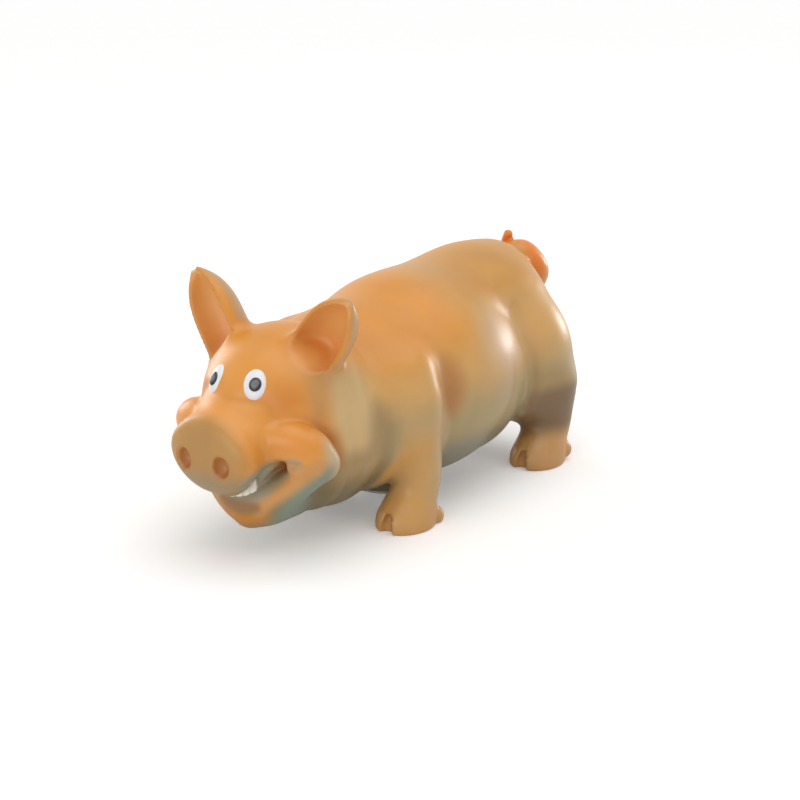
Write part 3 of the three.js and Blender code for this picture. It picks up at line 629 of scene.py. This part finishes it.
def make_wadding(name, lumps, room, node):
    clay = bmesh.new()
    for lump in lumps:
        lump.mould(clay)
    piece = remeshed(object_of(name, clay), WADDING_VOXEL)
    if room:
        hollow = bmesh.new()
        room.mould(hollow)
        cut_out(piece, object_of("room", hollow))
    evened(piece, EVEN, WADDING_ROUNDS)
    seated(piece, "wadding", node)
    return piece


torso_wadding = make_wadding("torso_wadding", [smaller(BARREL), smaller(CHEST), smaller(RUMP, RUMP_WALL)],
                             GRUNTER_ROOM, "torso_filling")
head_wadding = make_wadding("head_wadding", [smaller(SKULL)], None, "head_filling")

# %% [markdown]
# The eyes are white ovals raised on the face, and the pupils smaller dark ones on the eyes. They could be painted
# on the skin, but as pieces of their own they keep a sharp edge and a brighter gloss. A ray from the front finds
# the face behind each eye, and the oval is laid on it, a little sunk. Each eye is given by its x, its z, half its
# width and its lean in degrees.

# %% Eyes
EYES = {"left": (10, 73.6, 4.8, 0), "right": (-9.5, 72.4, 4, 15)}
EYE_HALF_HEIGHT = 6.3
EYE_BULGE = 2.6
EYE_SUNK = 1.2
EYE_SIDES, EYE_RINGS = 48, 24
BEFORE_FACE = -150
PUPIL_SHARE = (0.52, 0.45, 0.39)
PUPIL_SHIFT = (0.6, -0.6)
PUPIL_PROUD = 1.05


def face_at(tree, x, z):
    """The place on the face in front of a point of it, with axes to its right, upwards and outwards."""
    place, outward, _, _ = tree.ray_cast(Vector((x, BEFORE_FACE, z)) * MM, Vector((0, 1, 0)))
    side = Vector((0, 0, 1)).cross(outward).normalized()
    return place, Matrix((side, outward.cross(side), outward)).transposed()


def oval(name, place, axes, halves, node, slot):
    clay = bmesh.new()
    size = Matrix.Diagonal((*halves, 1))
    matrix = Matrix.Translation(place) @ axes.to_4x4() @ size
    bmesh.ops.create_uvsphere(clay, u_segments=EYE_SIDES, v_segments=EYE_RINGS, radius=MM, matrix=matrix)
    return seated(object_of(name, clay), slot, node)


face = bmesh.new()
face.from_mesh(skin.data)
face_tree = BVHTree.FromBMesh(face)
whites, pupils = [], []
for word, (x, z, half_width, lean) in EYES.items():
    place, axes = face_at(face_tree, x, z)
    axes = axes @ Matrix.Rotation(math.radians(lean), 3, "Z")
    sunk = place - axes.col[2] * EYE_SUNK * MM
    halves = (half_width, EYE_HALF_HEIGHT, EYE_BULGE)
    whites.append(oval(f"white_{word}", sunk, axes, halves, f"eye_{word}", "eye_white"))
    proud = place + axes @ Vector((*PUPIL_SHIFT, PUPIL_PROUD)) * MM
    halves = [half * share for half, share in zip(halves, PUPIL_SHARE)]
    pupils.append(oval(f"dark_{word}", proud, axes, halves, f"pupil_{word}", "pupil_dark"))
face.free()
print("eyes at", [[round(v / MM, 1) for v in piece.data.vertices[0].co] for piece in whites])

# %% [markdown]
# The teeth are one strip behind the upper lip. A row of cubes would do from afar, but the real ones are one
# moulded band. So rings of points with square shoulders stand along a curve from corner to corner, smaller at each
# notch between two teeth, and each ring is bridged to the next.

# %% Teeth
TEETH_LINE = Roll((12, -94, 33.6, 1), (7, -96, 31, 1), (0, -97, 29.8, 1), (-7, -96, 31, 1),
                  (-12, -94, 33.6, 1), steps=12)
TOOTH_HALF_HEIGHT = 2.6
TOOTH_HALF_DEPTH = 0.9
TOOTH_STEPS = 6
TOOTH_NOTCH = 0.35
TOOTH_SIDES = 12


def squared(share):
    """A sine or cosine with squarer shoulders."""
    return math.copysign(abs(share) ** 0.5, share)


def make_teeth():
    clay = bmesh.new()
    loops = []
    for i, centre in enumerate(TEETH_LINE.stations[:, :3]):
        notch = 1 - TOOTH_NOTCH * (i % TOOTH_STEPS == 0)
        ring = []
        for turn in np.linspace(0, 2 * math.pi, TOOTH_SIDES, endpoint=False):
            depth = squared(math.cos(turn)) * TOOTH_HALF_DEPTH * notch
            rise = squared(math.sin(turn)) * TOOTH_HALF_HEIGHT
            rise *= notch if rise < 0 else 1
            ring.append(clay.verts.new(Vector(centre + (0, -depth, rise)) * MM))
        loops.append([clay.edges.new((ring[k - 1], ring[k])) for k in range(TOOTH_SIDES)])
    for loop, following in zip(loops[:-1], loops[1:]):
        bmesh.ops.bridge_loops(clay, edges=loop + following)
    bmesh.ops.holes_fill(clay, edges=loops[0] + loops[-1], sides=TOOTH_SIDES)
    bmesh.ops.recalc_face_normals(clay, faces=clay.faces)
    return object_of("teeth_strip", clay)


teeth = seated(make_teeth(), "tooth_white", "teeth")

# %% [markdown]
# The grunter's soft part is a folded rubber bellows with a coil spring inside it. A Screw modifier could make
# both, but spin does it in one step each: a zigzag wall goes once round its axis, and the ring of a round wire
# goes round several times while it rises. Both take their size from the frame.

# %% Bellows and spring
FOLDS = 6
FOLD_DEPTH = 3.4 * MM
RUBBER = 0.7 * MM
SPRING_TURNS = 6
SPRING_STEPS = 40
WIRE = 0.6 * MM
WIRE_SIDES = 10
BELLOWS_STEPS = 64
BELLOWS_BEVEL = 0.25 * MM


def node_axis(node):
    """The middle of a round node, its outer radius, and its lowest and highest z."""
    low, high = (Vector(corner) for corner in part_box(node))
    middle = (low + high) / 2
    return middle, (high.x - low.x) / 2, low.z, high.z


def make_bellows():
    middle, radius, low, high = node_axis("bellows")
    clay = bmesh.new()
    rises = np.linspace(low, high, 2 * FOLDS + 1)
    outer = [(radius - FOLD_DEPTH * (i % 2), z) for i, z in enumerate(rises)]
    inner = [(across - RUBBER, z) for across, z in reversed(outer)]
    verts = [clay.verts.new((middle.x + across, middle.y, z)) for across, z in outer + inner]
    edges = [clay.edges.new((verts[i - 1], vert)) for i, vert in enumerate(verts)]
    bmesh.ops.spin(clay, geom=verts + edges, cent=(middle.x, middle.y, 0), axis=(0, 0, 1), angle=2 * math.pi,
                   steps=BELLOWS_STEPS, use_merge=True)
    bmesh.ops.recalc_face_normals(clay, faces=clay.faces)
    piece = object_of("folded_bellows", clay)
    soften = piece.modifiers.new("soften", "BEVEL")
    soften.width, soften.segments, soften.limit_method = BELLOWS_BEVEL, 2, "ANGLE"
    return applied(piece)


def make_spring():
    middle, radius, low, high = node_axis("return_spring")
    clay = bmesh.new()
    upright = Matrix.Rotation(math.pi / 2, 4, "X") @ Matrix.Rotation(math.pi / 2, 4, "Z")
    first = Matrix.Translation((middle.x + radius - WIRE, middle.y, low + WIRE)) @ upright
    ring = bmesh.ops.create_circle(clay, segments=WIRE_SIDES, radius=WIRE, matrix=first)["verts"]
    steps = SPRING_TURNS * SPRING_STEPS
    bmesh.ops.spin(clay, geom=ring + list(clay.edges), cent=(middle.x, middle.y, 0), axis=(0, 0, 1),
                   dvec=(0, 0, (high - low - 2 * WIRE) / steps), angle=2 * math.pi * SPRING_TURNS, steps=steps,
                   use_merge=False)
    bmesh.ops.holes_fill(clay, edges=[edge for edge in clay.edges if edge.is_boundary], sides=WIRE_SIDES)
    bmesh.ops.recalc_face_normals(clay, faces=clay.faces)
    return object_of("coil_spring", clay)


bellows = seated(make_bellows(), "bellows_rubber", "bellows")
spring = seated(make_spring(), "spring_steel", "return_spring")

# %% [markdown]
# The latex is tan and then airbrushed: the back and head get orange, the belly olive grey, the shins and trotters
# browns. The belly's olive grey is partly painted shade, darker towards the bottom, and a few more colours are
# painted shade, a painted shadow or a painted highlight. This cell is the paint box, with the colours as they are
# picked on a screen, from 0 to 255.

# %% Paint box
TAN = (214, 164, 96)
BACK_ORANGE = (224, 147, 46)
REAR_TAN = (208, 147, 60)
FLANK_PINK = (210, 172, 130)
# the belly: olive grey that is partly painted shade, and below it painted shade, darker towards the bottom
BELLY_OLIVE_AND_SHADE = (176, 154, 108)
UNDER_SHADE_GREY = (138, 131, 108)
SPOT = (180, 118, 54)
NECK_KHAKI = (212, 178, 122)
# painted shade in the hollow between the neck and the foreleg
CHEST_SHADE_OLIVE = (152, 124, 76)
# painted shadow of the jaw on the throat
THROAT_SHADOW_BROWN = (128, 112, 76)
SHIN_ORANGE = (208, 156, 86)
SHIN_TAN = (198, 164, 112)
HAM_OLIVE = (172, 140, 92)
LEG_GREY = (130, 104, 72)
HOOF_TAN = (200, 150, 92)
TAIL_ORANGE = (240, 136, 36)
HEAD_ORANGE = (226, 152, 64)
BRIGHT_ORANGE = (214, 132, 48)
CHEEK_ORANGE = (222, 141, 58)
TEMPLE_TAN = (198, 143, 80)
SNOUT_TAN = (184, 136, 72)
SNOUT_GREY = (158, 134, 98)
NOSTRIL_ORANGE = (186, 126, 66)
# painted shade under the cheek and on the side of the upper lip
LIP_SHADE_GREY = (156, 152, 128)
MOUTH_GREY = (176, 166, 142)
RIM_ORANGE = (208, 148, 82)
# painted shadow of the snout on the lower lip
LIP_SHADOW_BROWN = (156, 114, 68)
# painted highlight along the back rim of the cheek
CHEEK_RIM_HIGHLIGHT = (200, 174, 136)
JAW_GREEN = (130, 140, 120)
CHIN_ORANGE = (198, 130, 46)
EAR_HOLLOW = (228, 168, 96)
EAR_ROOT = (236, 166, 94)
EAR_BACK = (196, 160, 116)


def linear(colour):
    """A colour picked from 0 to 255 as linear light."""
    share = np.array(colour, float) / 255
    return np.where(share <= 0.04045, share / 12.92, ((share + 0.055) / 1.055) ** 2.4)


print("white is", linear((255, 255, 255)), "and tan", linear(TAN).round(2))

# %% [markdown]
# A spray is a lump of air: full inside, fading over a soft width on both sides. An image texture would need the
# skin unwrapped, and it would show seams. So the colour is worked out for every point of the mesh, and the sprays
# lie over each other in the order in which a painter would work. The trunk comes first, from the back down.

# %% Paint of the trunk
FLANK_PATCH = Ball((42, 36, 68), (14, 20, 17))
SHOULDER_SPOT = Ball((43, -8, 59), (8, 7, 15))
FLANK_SPOT = Ball((43, 36, 50), (6, 3, 8))
CHEST_SIDE = Roll((36, -48, 58, 3), (38, -47, 46, 8), (34, -46, 30, 8))


def tint(colour, target, share):
    """A colour turned towards a target by a share for each point."""
    return colour + (linear(target) - colour) * share[:, None]


def spray(lump, points, soft):
    """1 inside a lump and 0 outside, fading over a soft width on both sides."""
    return 1 - fade(lump.gap(points), -soft, soft)


def trunk_paint(left):
    _, along, high = left.T
    colour = np.repeat(linear(TAN)[None], len(left), axis=0)
    colour = tint(colour, BACK_ORANGE, fade(high, 62, 82) * fade(along, 30, -2))
    colour = tint(colour, REAR_TAN, fade(high, 76, 92) * fade(along, 0, 30))
    colour = tint(colour, FLANK_PINK, 0.8 * spray(FLANK_PATCH, left, 9))
    # the belly darkens towards the bottom: olive grey that is partly painted shade, then painted shade
    colour = tint(colour, BELLY_OLIVE_AND_SHADE, fade(high, 66, 40))
    colour = tint(colour, UNDER_SHADE_GREY, fade(high, 38, 24))
    colour = tint(colour, SPOT, 0.85 * spray(SHOULDER_SPOT, left, 6))
    colour = tint(colour, SPOT, 0.3 * spray(FLANK_SPOT, left, 3.5))
    neck = fade(along, -42, -56)
    colour = tint(colour, NECK_KHAKI, neck * fade(high, 84, 68))
    # painted shade in the hollow between the neck and the foreleg
    colour = tint(colour, CHEST_SHADE_OLIVE, 0.7 * spray(CHEST_SIDE, left, 6))
    colour = tint(colour, HAM_OLIVE, neck * fade(high, 48, 38))
    # painted shadow of the jaw, low on the throat
    return tint(colour, THROAT_SHADOW_BROWN, fade(along, -36, -48) * fade(high, 36, 24))


print("sprays on the back reach", round(float(FLANK_PATCH.middle[2] + FLANK_PATCH.halves[2])), "mm high")

# %% [markdown]
# The legs turn from olive at the top to grey and then to brown at the trotters. The front of the shin catches more
# orange, so its spray leans across the leg. The curled tail is the brightest orange of all.

# %% Paint of the legs and tail
FORE_LEG_AREA = Roll((34, -24, 52, 13), (33, -21, 30, 15), (31, -24, 4, 18))
HIND_LEG_AREA = Roll((34, 72, 50, 14), (33, 76, 30, 17), (31, 74, 4, 19))
TAIL_AREA = Ball((3, 98, 83), (13, 10, 16))


def leg_paint(colour, left):
    across, along, high = left.T
    fore = spray(FORE_LEG_AREA, left, 4)
    ahead = fade(along - 0.7 * (across - 36), -22, -32)
    colour = tint(colour, SHIN_TAN, fore * fade(high, 56, 44))
    colour = tint(colour, SHIN_ORANGE, fore * fade(high, 54, 34) * ahead)
    colour = tint(colour, HOOF_TAN, fore * fade(high, 14, 8) * (1 - 0.5 * ahead))
    hind = spray(HIND_LEG_AREA, left, 5)
    colour = tint(colour, HAM_OLIVE, hind * fade(high, 54, 42) * fade(along, 88, 74))
    colour = tint(colour, LEG_GREY, hind * fade(high, 42, 34))
    colour = tint(colour, HOOF_TAN, hind * fade(high, 20, 11))
    return tint(colour, TAIL_ORANGE, spray(TAIL_AREA, left, 3))


print("leg areas", len(FORE_LEG_AREA.stations) + len(HIND_LEG_AREA.stations), "stations")

# %% [markdown]
# The face is orange, with tan temples, a brown snout, and grey green along the side of the jaw. The rim of the
# lower lip is picked out in a lighter orange, and the hollow of the mouth in a pale grey. Painted shade greys the
# underside of the cheek and the side of the upper lip, a painted shadow of the snout browns the lower lip, and a
# painted highlight lightens the back rim of the cheek.

# %% Paint of the head
TEMPLE = Ball((30, -76, 71), (6, 6, 12))
BESIDE_BRIDGE = Ball((20, -87, 68), (10, 8, 5))
CHEEK_TOP = Ball((33, -90, 54), (9, 7, 5))
CHEEK_BACK = Ball((40, -78, 47), (5, 6, 14))
NOSTRIL_AREA = Ball((9.5, -110, 44.7), (4.4, 5, 5.2))
LIP_SIDE = Ball((16, -97, 37.5), (9, 11, 6.5))
CHIN = Ball((0, -94, 18), (16, 8, 9))
LIP_MIDDLE = Ball((0, -91, 22.5), (11, 5, 4))
JAW_SIDE = Roll((40, -84, 40, 4), (34, -84, 34, 6), (25, -82, 25, 8), (14, -80, 15, 8))
LIP_RIM = Roll((37, -87, 44, 3), (28, -88.5, 38, 4), (18, -91, 29, 3.5), (10, -92, 22, 3))
CHEEK_UNDER = Roll((30, -91.5, 45, 2), (22, -94.5, 42, 3), (15, -97, 38, 4))
MOUTH_HOLLOW = Roll((21.5, -88.5, 40, 2.6), (17, -90, 37, 3.4), (9, -92, 30.5, 5), (0, -93, 28, 4))


def head_paint(colour, left):
    _, along, high = left.T
    face = fade(along + 0.25 * (high - 60), -68, -77)
    colour = tint(colour, HEAD_ORANGE, face * fade(high, 34, 46))
    colour = tint(colour, TEMPLE_TAN, 0.9 * spray(TEMPLE, left, 5))
    colour = tint(colour, BRIGHT_ORANGE, 0.8 * spray(BESIDE_BRIDGE, left, 5))
    colour = tint(colour, CHEEK_ORANGE, 0.8 * spray(CHEEK_TOP, left, 4))
    # painted highlight along the back rim of the cheek
    colour = tint(colour, CHEEK_RIM_HIGHLIGHT, spray(CHEEK_BACK, left, 4))
    snout = fade(along, -104, -111)
    colour = tint(colour, SNOUT_TAN, snout)
    colour = tint(colour, SNOUT_GREY, snout * fade(high, 45, 36))
    colour = tint(colour, NOSTRIL_ORANGE, spray(NOSTRIL_AREA, left, 1))
    # painted shade on the side of the upper lip
    colour = tint(colour, LIP_SHADE_GREY, spray(LIP_SIDE, left, 3.5) * fade(along, -109, -105))
    colour = tint(colour, JAW_GREEN, spray(JAW_SIDE, left, 4))
    colour = tint(colour, CHIN_ORANGE, spray(CHIN, left, 5))
    colour = tint(colour, RIM_ORANGE, spray(LIP_RIM, left, 2.5))
    # painted shade on the underside of the cheek
    colour = tint(colour, LIP_SHADE_GREY, spray(CHEEK_UNDER, left, 2.5))
    # painted shadow of the snout on the top of the lower lip
    colour = tint(colour, LIP_SHADOW_BROWN, spray(LIP_MIDDLE, left, 2))
    return tint(colour, MOUTH_GREY, spray(MOUTH_HOLLOW, left, 2))


print("lip rim", len(LIP_RIM.stations), "stations")

# %% [markdown]
# The ears are warm inside and paler behind. Each ear knows how high a point is on it and how deep in its hood, so
# the paint follows the hood. The finished colours are kept as an attribute that the material reads. Painted shade
# darkens the creases, where the form closes in on itself just above the skin. The pupils are painted the same
# way, grey in the middle with a dark ring.

# %% Paint of the ears, painted crease shade and pupils
NEAR_EAR = -6
# painted shade in the creases: how much each channel is darkened, and how far out in mm a crease is felt
CREASE_SHADE = (0.88, 0.82, 0.76)
CREASE_SHADE_REACH = 3
PUPIL_GREY = (112, 114, 116)
PUPIL_RING = (34, 34, 38)


def ear_paint(colour, left, ear, this_side):
    share, within = ear.inside(left)
    close = this_side * (within > NEAR_EAR)
    on_ear = close * fade(share, 0.06, 0.2)
    colour = tint(colour, EAR_BACK, 0.8 * on_ear * fade(within, 0, -1.4) * fade(left[:, 1], -73, -69))
    colour = tint(colour, EAR_HOLLOW, on_ear * fade(within, -1, 1))
    root = close * fade(share, 0.5, 0.1) * fade(share, -0.35, -0.1) * fade(within, -1, 2)
    return tint(colour, EAR_ROOT, 0.8 * root)


def airbrush(points):
    left = on_the_left(points)
    colour = head_paint(leg_paint(trunk_paint(left), left), left)
    colour = ear_paint(colour, left, EAR_LEFT, points[:, 0] > 0)
    return ear_paint(colour, left, EAR_RIGHT, points[:, 0] <= 0)


def keep_paint(piece, colours):
    paint = piece.data.attributes.new("paint", "FLOAT_COLOR", "POINT")
    paint.data.foreach_set("color", np.column_stack([colours, np.ones(len(colours))]).ravel())


places = points_of(skin, "co") / MM
# painted shade: the skin is darkened in its creases, where the form closes in above it
crease = 1 - np.clip(pig_gap(places + CREASE_SHADE_REACH * points_of(skin, "normal")) / CREASE_SHADE_REACH, 0, 1)
sprayed = airbrush(places) * (1 - (1 - np.array(CREASE_SHADE)) * fade(crease, 0.05, 0.7)[:, None])
keep_paint(skin, sprayed)
for pupil in pupils:
    places = points_of(pupil, "co")
    away = lengths(places - places.mean(axis=0))
    centre = np.repeat(linear(PUPIL_GREY)[None], len(places), axis=0)
    keep_paint(pupil, tint(centre, PUPIL_RING, fade(away / away.max(), 0.5, 0.75)))
print("painted", len(sprayed), "points, mean colour", sprayed.mean(axis=0).round(2))

# %% [markdown]
# No finish is quite even. Each material could have its own noise, but they all need the same two: broad clouds for
# colour and gloss, and fine ones for the grain. So a node group makes both once, with their scales as inputs.

# %% Clouds
BROAD_DETAIL, FINE_DETAIL = 2.0, 3.0


def clouds_group():
    group = bpy.data.node_groups.new("clouds", "ShaderNodeTree")
    group.interface.new_socket("Broad Scale", in_out="INPUT", socket_type="NodeSocketFloat")
    group.interface.new_socket("Fine Scale", in_out="INPUT", socket_type="NodeSocketFloat")
    group.interface.new_socket("Broad", in_out="OUTPUT", socket_type="NodeSocketFloat")
    group.interface.new_socket("Fine", in_out="OUTPUT", socket_type="NodeSocketFloat")
    entry = group.nodes.new("NodeGroupInput")
    leave = group.nodes.new("NodeGroupOutput")
    coordinates = group.nodes.new("ShaderNodeTexCoord")
    for name, detail in (("Broad", BROAD_DETAIL), ("Fine", FINE_DETAIL)):
        noise = group.nodes.new("ShaderNodeTexNoise")
        noise.inputs["Detail"].default_value = detail
        group.links.new(coordinates.outputs["Object"], noise.inputs["Vector"])
        group.links.new(entry.outputs[f"{name} Scale"], noise.inputs["Scale"])
        group.links.new(noise.outputs["Fac"], leave.inputs[name])
    return group


CLOUDS = clouds_group()
print(CLOUDS.name, len(CLOUDS.nodes), "nodes")

# %% [markdown]
# Every finish is one Principled shader: a plain colour or the painted attribute, clouded a little, with an uneven
# gloss and a bump for the grain. Latex, paint, fibre, plastic and metal differ only in the values.

# %% Finishes
BUMP_STRENGTH = 0.6


def ranged(tree, value, low, high):
    """A value from 0 to 1 spread from low to high."""
    spread = tree.nodes.new("ShaderNodeMapRange")
    spread.inputs["To Min"].default_value = low
    spread.inputs["To Max"].default_value = high
    tree.links.new(value, spread.inputs["Value"])
    return spread.outputs["Result"]


def finish(name, colour=None, attribute=None, roughness=0.4, metallic=0.0, shade=0.0, gloss=0.0, grain=0.0,
           broad=60, fine=600):
    """A material: a colour or a painted attribute, clouded by shade, uneven in gloss, with a grain in mm."""
    made = bpy.data.materials.new(name)
    made.use_nodes = True
    tree = made.node_tree
    shader = tree.nodes["Principled BSDF"]
    shader.inputs["Metallic"].default_value = metallic
    clouds = tree.nodes.new("ShaderNodeGroup")
    clouds.node_tree = CLOUDS
    clouds.inputs["Broad Scale"].default_value = broad
    clouds.inputs["Fine Scale"].default_value = fine
    mix = tree.nodes.new("ShaderNodeMix")
    mix.data_type = "RGBA"
    mix.blend_type = "MULTIPLY"
    mix.inputs["Factor"].default_value = 1
    if attribute:
        reader = tree.nodes.new("ShaderNodeAttribute")
        reader.attribute_name = attribute
        tree.links.new(reader.outputs["Color"], mix.inputs["A"])
    else:
        mix.inputs["A"].default_value = (*linear(colour), 1)
    tree.links.new(ranged(tree, clouds.outputs["Broad"], 1 - shade, 1 + shade), mix.inputs["B"])
    tree.links.new(mix.outputs["Result"], shader.inputs["Base Color"])
    uneven = ranged(tree, clouds.outputs["Broad"], roughness - gloss, roughness + gloss)
    tree.links.new(uneven, shader.inputs["Roughness"])
    if grain:
        bump = tree.nodes.new("ShaderNodeBump")
        bump.inputs["Strength"].default_value = BUMP_STRENGTH
        bump.inputs["Distance"].default_value = grain * MM
        tree.links.new(clouds.outputs["Fine"], bump.inputs["Height"])
        tree.links.new(bump.outputs["Normal"], shader.inputs["Normal"])
    return made


def dress(piece, material):
    piece.data.materials.clear()
    piece.data.materials.append(material)


def dress_all(pieces, material):
    for piece in pieces:
        dress(piece, material)


print("finish ready")

# %% [markdown]
# Now the pieces are dressed. The latex has a soft gloss with a faint grain, the eyes are glossier, the wadding is
# rough, and the grunter is of matt plastic, thin rubber, brass strip and steel wire.

# %% Dress the pieces
dress(skin, finish("latex", attribute="paint", roughness=0.36, shade=0.12, gloss=0.12, grain=0.05))
dress_all(whites, finish("eye_paint", (238, 238, 242), roughness=0.25))
dress_all(pupils, finish("pupil_paint", attribute="paint", roughness=0.22))
dress(teeth, finish("tooth_paint", (238, 232, 216), roughness=0.3, shade=0.06))
dress_all((torso_wadding, head_wadding),
          finish("fibre", (236, 234, 228), roughness=0.95, shade=0.1, grain=0.8, broad=90, fine=900))
dress_all([nodes[node] for node in ("sound_grille", "bellows_base", "press_plate", "reed_block")],
          finish("moulded_plastic", (216, 214, 207), roughness=0.5, grain=0.02, fine=3000))
dress_all([nodes[node] for node in ("reed", "reed_clamp")],
          finish("rolled_brass", (201, 164, 82), roughness=0.3, metallic=1, shade=0.05))
dress(bellows, finish("bellows_rubber", (74, 71, 68), roughness=0.6, grain=0.03))
dress(spring, finish("spring_steel", (185, 188, 192), roughness=0.3, metallic=1))
print("materials", len(bpy.data.materials))

# %% [markdown]
# A squeeze presses the grunter. A real hand dents the skin where it grips, which would need a soft body. Here the
# bellows, the spring and the stuffed pieces of the pig only get meshes of their own.

for piece, node in ((bellows, "bellows"), (spring, "return_spring")):
    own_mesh(piece)
stuffed = (skin, torso_wadding, head_wadding, teeth, *whites, *pupils)
for piece in stuffed:
    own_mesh(piece)
print("the squeeze lowers", len(stuffed), "pieces of the pig, bellows and spring")

# %% [markdown]
# The pig stands on a plain pale floor that keeps its shadow. A white floor could be lit until it clips, but that
# light would fall on the pig too. So the floor glows a little, and only for the camera.

# %% Floor
FLOOR_COLOUR = (0.95, 0.945, 0.94, 1)
FLOOR_HALF = 30
FLOOR_LIFT = 0.2
FLOOR_ROUGHNESS, FLOOR_SHEEN = 0.9, 0.1

floor_clay = bmesh.new()
bmesh.ops.create_grid(floor_clay, x_segments=1, y_segments=1, size=FLOOR_HALF)
floor = object_of("floor", floor_clay)
pale = bpy.data.materials.new("pale_floor")
pale.use_nodes = True
pale_shader = pale.node_tree.nodes["Principled BSDF"]
pale_shader.inputs["Base Color"].default_value = FLOOR_COLOUR
pale_shader.inputs["Roughness"].default_value = FLOOR_ROUGHNESS
pale_shader.inputs["Specular IOR Level"].default_value = FLOOR_SHEEN
pale_shader.inputs["Emission Color"].default_value = (1, 1, 1, 1)
eye_ray = pale.node_tree.nodes.new("ShaderNodeLightPath")
lift = pale.node_tree.nodes.new("ShaderNodeMath")
lift.operation = "MULTIPLY"
lift.inputs[1].default_value = FLOOR_LIFT
pale.node_tree.links.new(eye_ray.outputs["Is Camera Ray"], lift.inputs[0])
pale.node_tree.links.new(lift.outputs[0], pale_shader.inputs["Emission Strength"])
floor.data.materials.append(pale)
print("floor", 2 * FLOOR_HALF, "m wide")

# %% [markdown]
# Camera, mirror and glass rays see a white studio, while the world lights the pig at less than half that level.
# One level for both would wash its colours out.

# %% Background
WORLD_LEVEL = 0.42

world = bpy.data.worlds.new("studio")
scene.world = world
world.use_nodes = True
tree = world.node_tree
background = tree.nodes["Background"]
background.inputs["Color"].default_value = (1, 1, 1, 1)
path = tree.nodes.new("ShaderNodeLightPath")
level = tree.nodes.new("ShaderNodeMapRange")
level.inputs["To Min"].default_value = WORLD_LEVEL
level.inputs["To Max"].default_value = 1.0
seen = path.outputs["Is Camera Ray"]
for ray in ("Is Glossy Ray", "Is Transmission Ray"):
    either = tree.nodes.new("ShaderNodeMath")
    either.operation = "MAXIMUM"
    tree.links.new(seen, either.inputs[0])
    tree.links.new(path.outputs[ray], either.inputs[1])
    seen = either.outputs[0]
tree.links.new(seen, level.inputs["Value"])
tree.links.new(level.outputs[0], background.inputs["Strength"])
print("world lights at", WORLD_LEVEL)

# %% [markdown]
# A wide soft light from above does most of the work. A softbox behind and one on the far side put the gleams on
# shoulder, rump and brow, and a wide box in front fills the mouth and the ears. Each softbox has its place, what
# it looks at, its size in metres and its power in watts.

# %% Lights
TOP_LIGHT = 1.3
TOP_LIGHT_FROM = (0.2, 0.1, 1)
TOP_LIGHT_SPREAD = 70
SOFTBOXES = {
    "rear_box": ((0.2, 1.25, 0.11), (0, 0.02, 0.06), (0.3, 0.2), 2.4),
    "left_box": ((-1.0, 0.1, 0.3), (0, -0.05, 0.06), (0.4, 0.6), 2.5),
    "front_box": ((0.1, -1.3, 0.4), (0, 0, 0.06), (1.0, 0.8), 4),
}


def lamp(name, kind, at, looks_at):
    made = bpy.data.objects.new(name, bpy.data.lights.new(name, kind))
    made.location = at
    made.rotation_euler = (Vector(looks_at) - Vector(at)).to_track_quat("-Z", "Y").to_euler()
    scene.collection.objects.link(made)
    return made.data


def softbox(name, at, looks_at, size, power):
    box = lamp(name, "AREA", at, looks_at)
    box.shape = "RECTANGLE"
    box.size, box.size_y = size
    box.energy = power


top = lamp("top_light", "SUN", TOP_LIGHT_FROM, (0, 0, 0))
top.energy = TOP_LIGHT
top.angle = math.radians(TOP_LIGHT_SPREAD)
for name, (at, looks_at, size, power) in SOFTBOXES.items():
    softbox(name, at, looks_at, size, power)
scene.view_settings.view_transform = "Standard"
print("lights", len(bpy.data.lights))

# %% [markdown]
